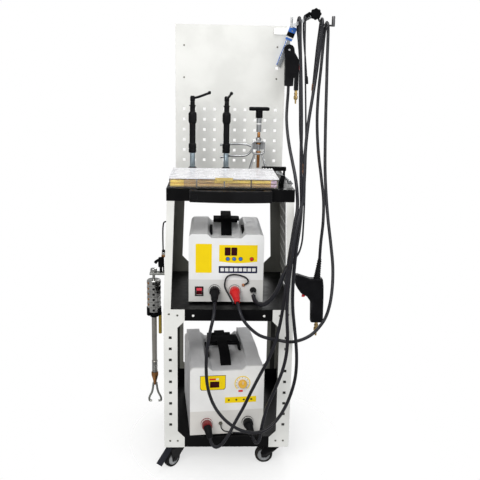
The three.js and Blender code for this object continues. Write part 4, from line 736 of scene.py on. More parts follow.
def housing_plastic(name, band_top, pale, band):
    """Textured housing plastic in two greys, split at a height in metres, and a little darker towards the
    bottom.
    """
    finish = Finish(name, "case_plastic", IOR=1.48)
    height = finish.along("Z")
    cloud = finish.limits(finish.noise(11, 4), 0.35, 0.7) * 0.35
    low = finish.limits(height, band_top - 0.0015, band_top + 0.0015, 1.0, 0.0)
    # A little darker towards the bottom, fading out 0.1 m above the band's top
    low_darkening = finish.limits(height, band_top - 0.2, band_top + 0.1, 0.16, 0.0)
    darker = tuple(channel * 0.82 for channel in pale)
    toned_front = finish.mix(cloud + low_darkening, finish.mix(low, pale, band), darker)
    finish.set(Base_Color=finish.mix(finish.marked() * 0.25, toned_front, (0.86, 0.86, 0.85)),
               Roughness=finish.limits(finish.noise(50, 4), 0.3, 0.7, 0.38, 0.52))
    finish.bump(finish.noise(1100, 2), 0.0001)
    return finish


upper_front = housing_plastic("upper_front_plastic", 0.6693, (0.86, 0.87, 0.875), (0.68, 0.68, 0.655))
lower_front = housing_plastic("lower_front_plastic", 0.211, (0.82, 0.82, 0.81), (0.68, 0.665, 0.63))
cover_plastic = moulded("cover_plastic", "cover_paint", (0.93, 0.935, 0.94), (0.86, 0.865, 0.87), 0.42)
# The lower welder's cover is the same pale plastic as the upper's, painted a darker grey as shade
cover_shaded = moulded("cover_shaded", "cover_paint", (0.62, 0.62, 0.63), (0.52, 0.52, 0.53), 0.42)
strap_plastic = moulded("strap_plastic", "black_plastic", (0.004, 0.004, 0.0045), (0.007, 0.007, 0.008), 0.7,
                        shine=0.03)
for welder, front, cover in (("upper", upper_front, cover_plastic), ("lower", lower_front, cover_shaded)):
    for label, source, finish, bevel, joined in (("bezel", "case", front, (1.2, 3), False),
                                                 ("shell", "cover", cover, (1.2, 3), False),
                                                 ("strap", "handle", strap_plastic, (3, 4, 40), True)):
        source = f"{welder}_welder_{source}"
        form = pressed(cad_forms(source, *bevel, joined=joined), *TOPS[welder])
        fixed(f"{welder}_welder_{label}", finish, [form], [source])


def strap_grip(welder, plate, level, thick, arms, parts=()):
    """What joins the strap to the housing: a cross plate and an arm along each side of the recess."""
    forms = [prism(rounded(*plate, 6), thick, "floor", level), *parts]
    forms += [prism(outline, 9.6, "side", start) for start, outline in arms]
    forms = [pressed(on_welder(welder, softened(form, 2, 3)), *TOPS[welder]) for form in forms]
    fixed(f"{welder}_strap_grip", strap_plastic, forms, [f"{welder}_welder_handle"])


strap_grip("lower", (-49, 176, 60, 236), 278.6, 8.6,
           [(-63.6, [(84, 252), (104, 252), (182, 264), (182, 280), (166, 280)]),
            (54, [(128, 256), (146, 254), (182, 264), (182, 280), (166, 280)])],
           [prism(oblong(-63.5, 262, 63.5, 278), 15, "front", 171)])
upper_arm = [(36, 224), (60, 224), (150, 226), (150, 236), (80, 235)]
strap_grip("upper", (-42, 212, 50, 266), 236, 8, [(-56.4, upper_arm), (52.8, upper_arm)])


def on_front(welder, outline, thick, proud=0.0, round_by=0.3):
    """A thin plate lying on a welder's front, from an outline in the front's own millimetres."""
    return on_welder(welder, softened(prism(outline, thick, "front", -thick - proud), round_by))


def printed(name, slot, color, dark, roughness=0.32):
    """A printed plastic film: even colour with faint scratches and dust."""
    finish = Finish(name, slot, IOR=1.5, Specular_IOR_Level=0.2)
    scratch = finish.limits(finish.noise(1, 4, finish.scaled(40, 40, 700, (0.4, 0.2, 0.7))), 0.62, 0.72)
    cloud = finish.limits(finish.noise(30, 4), 0.35, 0.7)
    finish.set(Base_Color=finish.mix(cloud * 0.4, color, dark),
               Roughness=finish.limits(scratch + cloud * 0.3, 0.0, 1.2, roughness, roughness + 0.25))
    finish.bump(finish.noise(400, 2), 0.00004, 0.3)
    return finish


yellow_film = printed("yellow_film", "orange_plastic", (0.9, 0.66, 0.003), (0.84, 0.6, 0.003))
navy_film = printed("navy_film", "blue_plastic", (0.01, 0.012, 0.05), (0.009, 0.01, 0.04))
dark_film = printed("dark_film", "black_plastic", (0.012, 0.012, 0.014), (0.02, 0.02, 0.022), 0.25)
pale_film = printed("pale_film", "case_plastic", (0.75, 0.76, 0.76), (0.68, 0.69, 0.69))
display_glass = printed("display_glass", "red_plastic", (0.035, 0.002, 0.003), (0.02, 0.001, 0.002), 0.2)
button_blue = moulded("button_blue", "blue_plastic", (0.03, 0.17, 0.62), (0.02, 0.13, 0.5), 0.2, 300, 0.00003)
button_red = moulded("button_red", "red_plastic", (0.72, 0.02, 0.02), (0.6, 0.015, 0.015), 0.2, 300, 0.00003)
glowing_red = Finish("rocker_lens", "red_plastic", Roughness=0.18, IOR=1.5, Emission_Strength=0.25)
glow = (glowing_red.limits(glowing_red.along("Z"), 0.629, 0.6315)
        * glowing_red.limits(glowing_red.noise(90, 3), 0.1, 0.6, 0.7, 1.0))
glowing_red.set(Base_Color=glowing_red.mix(glow, (0.06, 0.003, 0.006), (0.62, 0.05, 0.08)),
                Emission_Color=glowing_red.mix(glow, (0.02, 0, 0.001), (0.8, 0.05, 0.08)))
glowing_red.bump(glowing_red.noise(500, 2), 0.00003, 0.2)

display_places = (-4.2, 17.7)
panel_left, panel_right, panel_top, panel_foot, panel_bow = -24, 104, 199, 142, 5.5
bowed_panel = [(panel_left, panel_top), (panel_right, panel_top)]
for step in range(17):
    x = panel_right + (panel_left - panel_right) * step / 16
    bowed_panel.append((x, panel_foot - panel_bow * math.sin(math.pi * step / 16)))
fixed("upper_label", yellow_film, [on_front("upper", rounded(-102.5, 102, -48.5, 202, 2.5), 0.5)])
fixed("upper_panel", yellow_film, [on_front("upper", bowed_panel, 0.5)])
fixed("upper_displays", display_glass, [
    on_front("upper", rounded(x, 164, x + 17, 189, 1.2), 0.6, 0.5) for x in display_places])
fixed("upper_display_frames", dark_film, [
    on_front("upper", rounded(x - 1.4, 162.4, x + 18.4, 190.6, 1.6), 0.3, 0.5) for x in display_places])
fixed("upper_strip", navy_film, [on_front("upper", rounded(-25, 101.5, 104.5, 126, 1.5), 0.5)])


def tile(node, given):
    """A thin square plate."""
    size = node("ShaderNodeCombineXYZ", X=given["Side"], Y=given["Side"], Z=given["Thickness"])
    return node("GeometryNodeMeshCube", Size=size)


(strip_x, strip_front, strip_z), _ = WELDERS["upper"]
repeated("upper_strip_squares", pale_film, [
    ((strip_x - 13.2 + 15.17 * index, strip_front - 0.8, strip_z + 113.6), FRONT) for index in range(8)],
    copier("panel_squares", tile, Side=0.0115, Thickness=0.0004))

button_high = 151
button_places = {"blue_button_left": 5, "blue_button_middle": 26, "blue_button_right": 48, "red_button": 85}
rings = []
for button, x in button_places.items():
    cap = lathe([[0, -1.5], [5.5, -1.5], [5.5, 1.8], [5.2, 2.4], [4.4, 2.9], [2.2, 3], [0, 3]])
    ring = lathe([[5.9, -0.2], [7.2, -0.2], [7.2, 0.8], [6.7, 1.1], [5.9, 1.1]])
    cap, ring = [on_welder("upper", form, x, 0, button_high, FRONT) for form in (cap, ring)]
    rings.append(ring)
    finish = button_red if button == "red_button" else button_blue
    piece(f"upper_{button}", f"upper_{button}", finish, [cap], [f"upper_welder_{button}"])
fixed("upper_button_rings", dark_film, rings)
left, foot, right, top, rim_x, rim_z = -104.4, 20, -75.6, 54, 4.2, 3.8
fixed("upper_rocker_frame", strap_plastic, [on_front("upper", oblong(*bar), 1.6, 0, 0.5) for bar in (
    (left, foot, left + rim_x, top), (right - rim_x, foot, right, top),
    (left, foot, right, foot + rim_z), (left, top - rim_z, right, top))])
piece("upper_rocker_lens", "rocker", glowing_red, [cad_forms("upper_welder_rocker", 0.6, 3)],
      ["upper_welder_rocker"])


def socket_ring(plug):
    """The round flange that a plug is screwed on to."""
    welder, x, z = PLUGS[plug]
    ring = lathe([[0, -1], [20.3, -1], [20.3, 3.8], [19.4, 4.9], [0, 4.9]], 64)
    return on_welder(welder, ring, x, 0, z, FRONT)


fixed("upper_socket_rings", plug_black, [socket_ring("plug_black"), socket_ring("plug_red")])
fixed("lower_socket_ring_left", plug_wine, [socket_ring("plug_left")])
fixed("lower_socket_ring_right", plug_black, [socket_ring("plug_right")])
elbow_x, elbow_z, terminal_x, terminal_z = 92, 42, 59.4, 60
elbow = curve_points([[elbow_x, 1, elbow_z], [elbow_x, -6, elbow_z],
                      [elbow_x, -11, 40.2], [elbow_x, -14, 36.4]], 6)
elbow_flange = lathe([[0, 0], [11, 0], [11, 3], [9.5, 4], [0, 4]])
thin_wire = curve_points([[terminal_x, -3, terminal_z], [73.7, -6, 70.7], [71, -9, 84], [57, -11, 93.4],
                          [33.3, -12, 99.5], [12, -11, 97], [1.2, -10, 88], [-4.5, -10, 66], [-2, -12, 50],
                          [8, -20, 34], [20, -30, 14], [24.9, -40, 5]], 6)
terminal = lathe([[0, 0], [5.5, 0], [5.5, 2], [3.2, 2.4], [3.2, 7], [2.6, 7.6], [0, 7.6]], 32)
fixed("upper_control_elbow", plug_black, [on_welder("upper", swept(elbow, 7.3)),
                                          on_welder("upper", elbow_flange, elbow_x, 0, elbow_z, FRONT)])
fixed("upper_sense_wire", cable_sheath, [on_welder("upper", swept(thin_wire, 2.8, 16))])
fixed("upper_terminal", copper, [on_welder("upper", terminal, terminal_x, 0, terminal_z, FRONT)])

# Lower welder
# The same housing with raised shoulders, a small display panel, an amber power knob in a printed
# dial and a plain yellow strip with four dots.
border = 1.6
chamfered = [(-92.5, 220), (-92.5, 176), (-87, 169), (-13, 169), (-7.5, 176), (-7.5, 220)]
bordered = [(x + (border if x > -50 else -border), z + (border if z > 200 else -border))
            for x, z in chamfered]
fixed("lower_panel_border", dark_film, [on_front("lower", bordered, 0.4)])
fixed("lower_panel", yellow_film, [on_front("lower", chamfered, 0.4, 0.4)])
fixed("lower_display", display_glass, [on_front("lower", rounded(-60, 177, -28, 199, 1.5), 0.6, 0.8)])
fixed("lower_bars_red", button_red, [
    on_front("lower", rounded(-62, 204.6, -40, 210.6, 1.2), 0.5, 0.8),
    on_front("lower", rounded(38.4, 156, 54, 163.5, 1.2), 0.5)])
fixed("lower_bars_grey", pale_film, [
    on_front("lower", rounded(-39, 204.6, -30, 210.6, 1.2), 0.5, 0.8),
    on_front("lower", rounded(54.6, 156, 64.4, 163.5, 1.2), 0.5)])
fixed("lower_strip", yellow_film, [on_front("lower", rounded(-7.8, 116.5, 101.3, 138.4, 1.5), 0.5)])
dial_x, dial_z = 52, 188
arc = around(dial_x, dial_z, 27.5, range(-50, 231, 7)) + around(dial_x, dial_z, 24.5, range(230, -51, -7))
fixed("lower_dial_arc", yellow_film, [on_front("lower", arc, 0.5)])
ticks = []
tick_start, tick_end, half_tick = 19.5, 23, 0.5
for angle in range(-45, 226, 27):
    ray = Vector(around(0, 0, 1, [angle])[0])
    side = ray.orthogonal() * half_tick
    corners = [ray * tick_start - side, ray * tick_end - side, ray * tick_end + side, ray * tick_start + side]
    ticks.append(on_front("lower", [(dial_x + c.x, dial_z + c.y) for c in corners], 0.4, 0, 0.1))
fixed("lower_dial_ticks", dark_film, ticks)
fixed("lower_strip_dots", dark_film, [
    on_front("lower", around(x, 127.5, 3.4, range(0, 360, 18)), 0.4, 0.5, 0.1) for x in (6, 32, 58, 84)])
amber = moulded("amber_knob", "orange_plastic", (0.8, 0.46, 0.05), (0.68, 0.36, 0.03), 0.28, 400, 0.00005)
knob_rim = fluted([(0.3, 1.0), (1.5, 1.04), (9.5, 1.0), (11.5, 0.94), (13.2, 0.86), (14, 0.74), (13.3, 0.6)],
                  lambda corner, share: 13.5 if corner % 8 < 3 and share > 0.9 else 14.6, 112)
pointer = softened(prism(oblong(-1, 2, 1, 12.6), 1, "floor", 13.4), 0.3)
for label, finish, form in (("cap", amber, knob_rim), ("pointer", pale_film, pointer)):
    piece(f"lower_knob_{label}", "knob", finish, [on_welder("lower", form, dial_x, 0, dial_z, FRONT)],
          ["lower_welder_knob"])
stud_x, stud_z = -22, 41
stud = lathe([[0, 0], [7, 0], [7, 2.4], [4.2, 3], [4.2, 9], [3.4, 10], [0, 10]], 6)
low_wire = curve_points([[stud_x, -8, stud_z - 2], [-20, -13, 29], [-12, -17, 21], [10, -19, 16],
                         [36, -21, 13], [60, -23, 12]], 6)
fixed("lower_terminal", zinc, [on_welder("lower", stud, stud_x, 0, stud_z, FRONT)])
fixed("lower_sense_wire", cable_sheath, [on_welder("lower", swept(low_wire, 2.2, 16))])

# Hanger
# A steel arm on a pale painted plate bolted to the board, with a side rod clamped to it by a
# lobed knob; the cables and guns hang over its pegs.
arm_steel = brushed("arm_steel", "bare_steel", (0.4, 0.41, 0.42), (0.3, 0.31, 0.32), 0.42)
plate_right, plate_front = 221, 440
on_plate = ((arm_steel.along("X") < metres(plate_right, 0, 0).x)
            * (arm_steel.along("Y") > metres(0, plate_front, 0).y))
arm_steel.set(Base_Color=arm_steel.mix(on_plate, (0.4, 0.41, 0.42), (0.74, 0.745, 0.73)),
              Metallic=1 - on_plate)
dark_steel = brushed("dark_steel", "bare_steel", (0.13, 0.13, 0.135), (0.08, 0.08, 0.085), 0.36)
hang_y, rod_x, rod_z, peg_x, peg_z = 385, 300, 1555, 366, 1518.5
clip = prism([(262, 1541), (281, 1547), (286, 1561), (278, 1563), (260, 1551)], 7, "front", hang_y - 3.5)
rod_line = curve_points([[308, hang_y, 1549], [317, hang_y, 1532], [330, hang_y, 1522], [344, hang_y, 1519],
                         [peg_x, hang_y, peg_z]], 6)
rod_eye = placed(lathe([[5.4, -3.6], [12.4, -3.6], [13, -3], [13, 3], [12.4, 3.6], [5.4, 3.6]]),
                 rod_x, hang_y, rod_z, tip=FRONT)
rod_peg = placed(lathe([[0, -3.4], [5.4, -3.4], [6, -2.6], [6, 30.5], [4.6, 32], [0, 32]]),
                 peg_x, hang_y, peg_z)
lobes = fluted([(0, 0.93), (1.2, 1), (15, 1), (18, 0.94), (20, 0.8)],
               lambda corner, share: 18.6 + 1.3 * math.cos(16 * math.pi * corner / 96))
fixed("hanger_arm_bar", arm_steel, [cad_forms("hanger_arm", 0.7)], ["hanger_arm"])
fixed("hanger_clip", strap_plastic, [softened(clip, 1.2, 3)], ["hanger_arm"])
fixed("hanger_rod_bar", dark_steel, [swept(rod_line, 3.4), rod_eye, rod_peg], ["hanger_rod"])
piece("hanger_knob_cap", "hanger_knob", strap_plastic, [placed(lobes, rod_x, hang_y - 4.08, rod_z, tip=FRONT)],
      ["hanger_knob"], 30)

# Guns
# Black moulded pistol bodies, each with a brass nozzle and a red trigger; a ribbed strain relief
# holds the cable where it enters the lower one.
gun_plastic = moulded("gun_plastic", "black_plastic", (0.005, 0.005, 0.006), (0.01, 0.01, 0.0115), 0.36)
brass = brushed("brass_nozzles", "bare_steel", (0.7, 0.5, 0.22), (0.55, 0.38, 0.15), 0.28)
trigger_red = moulded("trigger_red", "red_plastic", (0.62, 0.01, 0.012), (0.5, 0.008, 0.01), 0.28)
gun_half, low_y, up_y = 14.5, 226, 414


def gun_nozzle(x, y, top, long, radius):
    """A turned nozzle below a gun, from shares of its radius and of its length from the tip up."""
    shares = [(0.35, 0), (0.45, 0.3), (0.8, 0.34), (1, 0.38), (1, 0.58), (0.72, 0.62), (0.72, 0.7),
              (0.9, 0.72), (0.9, 0.8), (0.7, 0.82)]
    profile = [[radius * wide, top - long + long * high] for wide, high in shares]
    return placed(lathe([[0, top - long], *profile, [radius * 0.7, top + 2], [0, top + 2]], 40), x, y, 0)


low_outline = [[300, 628], [346, 628], [350, 600], [352, 560], [354, 459], [308, 459], [305, 538], [290, 560],
               [268, 572], [256, 588], [247, 604], [244, 624], [246, 643], [256, 642], [280, 634]]
up_outline = [[202, 1306], [217, 1304], [233, 1306], [234, 1336], [238, 1336], [238, 1290], [252, 1290],
              [252, 1396], [244, 1410], [235, 1424], [232.4, 1440], [226, 1449], [214, 1453], [203, 1450],
              [196, 1442], [195, 1432], [197, 1420], [200, 1400]]
relief = curve_points([[325, low_y, 622], [328, low_y, 655], [332, low_y, 699]], 20)
ribbed = [13.5 - 6 * index / (len(relief) - 1) - (1.6 if index % 4 in (2, 3) else 0)
          for index in range(len(relief))]
for gun, y, outline, round_by, nozzle, reliefs in (
        ("lower", low_y, low_outline, 5, gun_nozzle(331, low_y, 459, 54, 9), [swept(relief, ribbed, 32)]),
        ("upper", up_y, up_outline, 4, gun_nozzle(245, up_y, 1290, 48, 7.5), [])):
    body, trigger = f"{gun}_gun_body", f"{gun}_gun_trigger"
    form = softened(prism(outline, 2 * gun_half, "front", y - gun_half), round_by, 4, 25)
    fixed(f"{gun}_gun_shell", gun_plastic, [form], [body], 50)
    fixed(f"{gun}_gun_nozzle", brass, [nozzle], [body])
    if reliefs:
        fixed(f"{gun}_gun_relief", plug_black, reliefs, [body], 60)
    piece(f"{gun}_gun_lever", f"{gun}_trigger", trigger_red, [cad_forms(trigger, 1.2, 3)], [trigger])

# Blue lever tool
# A blue painted clamp head with a black band over it, a pale seam and a bare steel blade with a
# blue edge, hung tilted on a peg beside the upper gun.
blue_coat = powder_coat("blue_coat", "blue_paint", (0.03, 0.15, 0.56), (0.025, 0.12, 0.45), 0.34,
                        (0.2, 0.3, 0.5))
blade_steel = brushed("blade_steel", "bare_steel", (0.42, 0.45, 0.48), (0.32, 0.34, 0.37), 0.32)
peg, tilt = (226, 441.9, 1500), math.radians(20.8)
for label, finish, outline, half, round_by in (
        ("head", blue_coat, (-14, -6, 14, 16), 5, 2.2),
        ("band", strap_plastic, (-13.6, -22, 13.6, -5.6), 4.6, 1.6),
        ("seam", pale_film, (-13, -26, 13, -21.8), 4, 0.6),
        ("neck", blue_coat, (-12.6, -34, 12.6, -25.8), 3.9, 1.6),
        ("blade", blade_steel, (-5.4, -132, 8, -33), 3, 0.8),
        ("edge", blue_coat, (-8, -131, -5.2, -33), 3, 0.8)):
    bar = softened(prism(oblong(*outline), 2 * half, "front", -half), round_by, 3)
    bar.transform(Matrix.Translation(peg) @ Matrix.Rotation(tilt, 4, "Y"))
    fixed(f"blue_tool_{label}", finish, [bar], ["blue_lever_tool"])

# Lever pullers
# Turned black columns with a grey steel tube between their collars, and a cranked clamping lever.
tube_steel = brushed("tube_steel", "bare_steel", (0.42, 0.51, 0.57), (0.32, 0.4, 0.45), 0.34)
black_turned = moulded("black_turned", "black_plastic", (0.004, 0.004, 0.005), (0.008, 0.008, 0.009), 0.32)
tray_floor, puller_y, column_high = 988.3, 340, 258.3
column_profile = [
    [0, 76], [10.8, 76], [13.2, 77], [13.95, 78.5], [13.95, 88], [13.2, 89], [13.2, 91], [13.95, 92],
    [13.95, 107], [13.4, 108.4], [11, 110.2], [11, 180], [13.2, 183.2], [14.4, 187], [15, 190],
    [15, 213], [14.4, 216.6], [12.8, 220], [9.8, 222], [9.45, 223], [9.45, 240.8], [11.9, 241.6],
    [11.9, 244.8], [8.4, 245.8], [8.2, 257], [7.6, 258], [0, 258]]
for side, x, turn in (("left", -132, 0), ("right", -10, -76)):
    foot = lathe([[0, 0], [15.6, 0], [16.5, 0.8], [16.5, 20.6], [15.6, 21.8], [12.4, 24.6], [11, 26], [0, 26]])
    middle = lathe([[0, 25], [9.3, 25], [9.3, 77], [0, 77]])
    collars = lathe(column_profile)
    for form in (foot, middle, collars):
        placed(form, x, puller_y, tray_floor)
    body = [f"lever_puller_body_{side}"]
    fixed(f"lever_puller_foot_{side}", black_turned, [foot, collars], body, 32)
    fixed(f"lever_puller_tube_{side}", tube_steel, [middle], body)
    hub = lathe([[0, 0], [7.6, 0], [8.2, 0.8], [9, 4], [9, 14.4], [8.2, 16.6], [6, 19.6], [0, 20]])
    crank = swept(curve_points([[0, 0, 11], [18.6, 0, 15], [62, 0, 31]], 12), 4.4)
    ball = lathe([[0, -5], [4.4, -4.4], [5.6, -2], [6, 0], [5.8, 2.4], [4.4, 4.8], [0, 5.6]])
    arm = [hub, crank, placed(ball, 60, 0, 31, tip=(1, 0, 0))]
    for form in arm:
        placed(form, x, puller_y, tray_floor + column_high, turn)
    piece(f"lever_puller_arm_{side}", f"{side}_lever", black_turned, arm, [f"lever_puller_lever_{side}"])

# Squeeze puller
# A chromed looped head on four splayed legs, two squeeze levers, a brass screw through it and a
# black T handle on a chromed tube.
chrome = brushed("chrome_plate", "chrome_plate", (0.42, 0.43, 0.44), (0.3, 0.31, 0.32), 0.36)
worn_brass = brushed("worn_brass", "bare_steel", (0.5, 0.24, 0.09), (0.34, 0.16, 0.06), 0.3)
head_x, head_z, reach, leg_x, leg_y = 107, 1086, 139, 34, 22


def framed(outer, inner, depth, start):
    """A flat loop between two outlines of as many points, in X and Z, pushed through along Y."""
    form = bmesh.new()
    rings = [[form.verts.new((u, v, w)) for u, w in ring] for ring, v in (
        (outer, start), (outer, start + depth), (inner, start + depth), (inner, start))]
    for near, far in zip(rings, rings[1:] + rings[:1]):
        for corner in range(len(outer)):
            form.faces.new((near[corner - 1], near[corner], far[corner], far[corner - 1]))
    bmesh.ops.recalc_face_normals(form, faces=form.faces)
    return form


def on_puller(form, high=head_z, **how):
    """A form on the screw's axis, at a height above the floor."""
    return placed(form, head_x, puller_y, high, **how)


loop = framed(rounded(-25, -25, 25, 25, 13, 8), rounded(-19, -19, 19, 19, 7, 8), 18, -9)
bush = [[0, 22], [8.6, 22], [8.6, 27], [10, 28.4], [10, 33], [9.2, 34], [9.2, 36.4], [8.4, 37], [0, 37]]
squeeze_forms = [softened(on_puller(loop), 1.4, 3), on_puller(lathe(bush)),
                 on_puller(prism(oblong(-19.5, -7, 19.5, 19.5), 3.4, "front", 4.6))]
for shares in ([(0.16, 0.02), (0.3, 0.07), (0.49, 0.08), (0.75, 0.065), (1, 0.04)],
               [(0.16, -0.05), (0.24, -0.16), (0.35, -0.215), (0.75, -0.24), (1, -0.28)]):
    lever = [(head_x - u * reach, puller_y + leg_y * u ** 0.7, head_z + w * reach) for u, w in shares]
    squeeze_forms.append(swept(curve_points(lever), 4))
for side_y in (-1, 1):
    for side_x in (-1, 1):
        leg = [(head_x + side_x * leg_x * u, puller_y + side_y * leg_y * v,
                tray_floor + (head_z - tray_floor) * w)
               for u, v, w in ((0.35, 0.1, 0.79), (0.62, 0.6, 0.5), (1, 1, 0.055))]
        squeeze_forms.append(swept(curve_points(leg, 8), 3, 16))
    shoe = prism(oblong(-38.8, 0, 38.8, 7.2), 9.6, "front", side_y * leg_y - 4.8)
    squeeze_forms.append(softened(on_puller(shoe, tray_floor), 1.2, 3))
threads = [[0, 24]]
thread_pitch = 2.4
for index in range(17):
    threads += [[5.1, 24.6 + index * thread_pitch], [6, 25.8 + index * thread_pitch]]
threads += [[6, 72.6], [5.2, 73], [5.2, 78.6], [0, 78.6]]
nuts = [lathe([[0, low], [7.6, low], [8.6, low + 1], [8.6, low + 6], [7.6, low + 7], [0, low + 7]], 6)
        for low in (-19, 12)]
for label, finish, forms in (
        ("head", chrome, squeeze_forms),
        ("screw", worn_brass, [on_puller(lathe(threads, 32), tray_floor)]),
        ("nuts", worn_brass, [on_puller(nut) for nut in nuts]),
        ("stem", chrome, [on_puller(lathe([[0, -13], [5.4, -13], [5.4, 13], [0, 13]]))])):
    fixed(f"squeeze_puller_{label}", finish, forms, ["squeeze_puller_frame"])
handle_z = head_z + 25 + 12.3
boss = lathe([[0, 68.8], [11.6, 68.8], [12.5, 70], [12.5, 95.6], [11.6, 97], [0, 97]])
tube = lathe([[0, 19.4], [8.2, 19.4], [9, 20.6], [9, 68.7], [0, 68.7]])
band = lathe([[8.8, 46], [9.3, 46.4], [9.3, 50.6], [8.8, 51]])
tip = lathe([[0, 0], [4.6, 0], [5.9, 1.4], [5.9, 14], [5, 15.4], [5, 19.6], [0, 19.6]])
bar = lathe([[0, -37], [4.6, -36.6], [5.6, -35.6], [7, -31], [7, 31], [5.6, 35.6], [4.6, 36.6], [0, 37]])
for label, finish, forms in (
        ("grip", black_turned, [on_puller(bar, handle_z + 101, tip=(1, 0, 0)), on_puller(boss, handle_z)]),
        ("tube", chrome, [on_puller(tube, handle_z)]),
        ("band", white_nylon, [on_puller(band, handle_z)]),
        ("tip", worn_brass, [on_puller(tip, handle_z)])):
    piece(f"t_handle_{label}", "t_handle", finish, forms, ["squeeze_puller_t_handle"])

# Tools on the left side
# A slide hammer with hooked claws, hung by its collar in a forked steel hook whose pegs sit in the
# panel's holes; the weight is a drilled sleeve, and a black rod and clamp stand behind it.
turned_steel = brushed("turned_steel", "turned_aluminium", (0.62, 0.62, 0.6), (0.38, 0.38, 0.37), 0.2)
shaft_steel = brushed("shaft_steel", "bare_steel", (0.5, 0.48, 0.44), (0.38, 0.36, 0.33), 0.34)
pale_steel = brushed("pale_steel", "bare_steel", (0.42, 0.43, 0.4), (0.32, 0.33, 0.31), 0.4)
tube_yellow = brushed("tube_yellow", "bare_steel", (0.62, 0.44, 0.08), (0.5, 0.35, 0.06), 0.34)
hook_x, hook_y = -269.8, 256.5


def hung(profile, x=hook_x, y=hook_y, z=0, sides=48):
    """A turned part with upright axis, on the slide hammer's own axis where no other is given."""
    return placed(lathe(profile, sides), x, y, z)


claws = []
cone_foot, claw_wide, claw_long = 190, 22, 76
for side in (-1, 1):
    claw = [(hook_x + side * u * claw_wide, hook_y, cone_foot + w * claw_long)
            for u, w in ((0.23, 0.13), (0.5, -0.37), (1, -0.71), (0.95, -0.87), (0.55, -0.87))]
    claws.append(swept(curve_points(claw, 8), 4, 18))
coils = [[0, 243]]
coil_pitch = 4.8
for index in range(9):
    low = 243.4 + index * coil_pitch
    coils += [[8.4, low], [10.6, low + 1.4], [10.6, low + 2.8], [8.4, low + 4.2]]
tab = placed(prism(oblong(0, 471, 28, 482), 10, "front", -5), hook_x, hook_y)
cup = []
cup_foot, cup_radius = 474, 27
sweep = [-52 + 7.1 * step for step in range(41)]
for high, inner in ((4, 14.5), (29, 25.3)):
    outline = around(hook_x, hook_y, cup_radius, sweep) + around(hook_x, hook_y, inner, reversed(sweep))
    cup.append(prism(outline, high, "floor", cup_foot))
for label, finish, forms in (
        ("claws", pale_steel, claws),
        ("cone", worn_brass, [hung([[0, cone_foot], [3, cone_foot], [8.6, 214], [12.4, 228], [13, 232],
                                    [13, 241], [12, 243.4], [0, 243.4]])]),
        ("spring", turned_steel, [hung(coils + [[8.4, 288], [0, 288]])]),
        ("shaft", shaft_steel, [hung([[0, 287.6], [10.4, 287.6], [11, 288.6], [9.1, 292], [9.5, 466],
                                      [0, 466]])]),
        ("rod", turned_steel, [hung([[0, 482], [5, 482], [5, 637.3], [12, 637.3], [12, 648], [10.4, 650.4],
                                     [4, 652.2], [0, 652.3]])]),
        ("flange", strap_plastic, [hung([[0, 465.6], [14, 465.6], [14.95, 467], [14.95, 482.8], [14, 484],
                                         [0, 484]]), softened(tab, 1.2, 3)]),
        ("side_tube", tube_yellow, [hung([[0, 399], [5.2, 399], [6, 400], [6, 478], [0, 478]], hook_x + 22)]),
        ("cup", strap_plastic, cup)):
    fixed(f"hammer_{label}", finish, forms, ["slide_hammer"])
weight_foot, weight_long, ring_count = 486.5, 122, 6
profile = [[5.6, 0]]
for ring in range(ring_count):
    low = ring * weight_long / ring_count
    profile += [[radius, low + up] for radius, up in (
        (23, 0.4), (24.7, 1.6), (25, 3), (25, 17.4), (24.7, 18.8), (23, 20))]
profile += [[23, weight_long - 1.6], [16, weight_long], [5.6, weight_long]]
piece("slide_weight_body", "slide_weight", turned_steel, [hung(profile, z=weight_foot, sides=64)],
      ["slide_weight"], 30)


def rod_of(sides):
    """The shape of a short round rod, for a tree with a Radius and a Length."""
    return lambda node, given: node("GeometryNodeMeshCylinder", Vertices=sides, Radius=given["Radius"],
                                    Depth=given["Length"])


# The sleeve's holes are dark dimples in rows round it, one row with brown ones; the dark ones are near-black
# discs, painted shade for the inside of each hole
hole_tree = copier("sleeve_holes", rod_of(20), Radius=0.0046, Length=0.0014)
for label, finish, columns in (("dark", plug_black, (0, 2, 3, 4, 5)), ("brown", worn_brass, (1,))):
    holes = []
    for column in columns:
        outward = Vector((*around(0, 0, 1, [-88 - column * 360 / 7])[0], 0))
        for row in range(ring_count):
            centre = Vector((hook_x, hook_y, weight_foot + (row + 0.5) * weight_long / ring_count))
            holes.append((centre + outward * 24.6, outward))
    repeated(f"slide_weight_{label}_holes", finish, holes, hole_tree, "slide_weight")

panel_x, hook_foot, fork_x = -212.2, 629, -283.9
notch = [(panel_x, -15), (panel_x, 15), (fork_x, 15), (fork_x, 7.9), (hook_x + 5.9, 5.9), (hook_x + 5.9, -5.9),
         (fork_x, -7.9), (fork_x, -15)]
hook_forms = [softened(placed(prism(notch, 8, "floor", hook_foot), 0, hook_y), 1)]
for low, high, half, out, back in ((629, 686, 15, 3, 0), (629, 637, 4, 0.9, 2.4), (667, 675, 4, 0.9, 2.4)):
    near, far = panel_x + (low - hook_foot) * LEAN, panel_x + (high - hook_foot) * LEAN
    leaning = [(near - out, low), (near + back, low), (far + back, high), (far - out, high)]
    hook_forms.append(softened(prism(leaning, half * 2, "front", hook_y - half), 0.6))
rod_x, rod_y, knob_x = panel_x - 22, hook_y + 11.25, panel_x - 31
rod = [(rod_x, rod_y, 633), (rod_x, rod_y, 812), (rod_x + 4, rod_y, 821), (rod_x + 19.8, rod_y, 823),
       (-207.4, rod_y, 823)]
wing = [(knob_x + 1, hook_y, 686), (knob_x - 13, hook_y - 6, 681), (knob_x - 21, hook_y - 10, 673)]
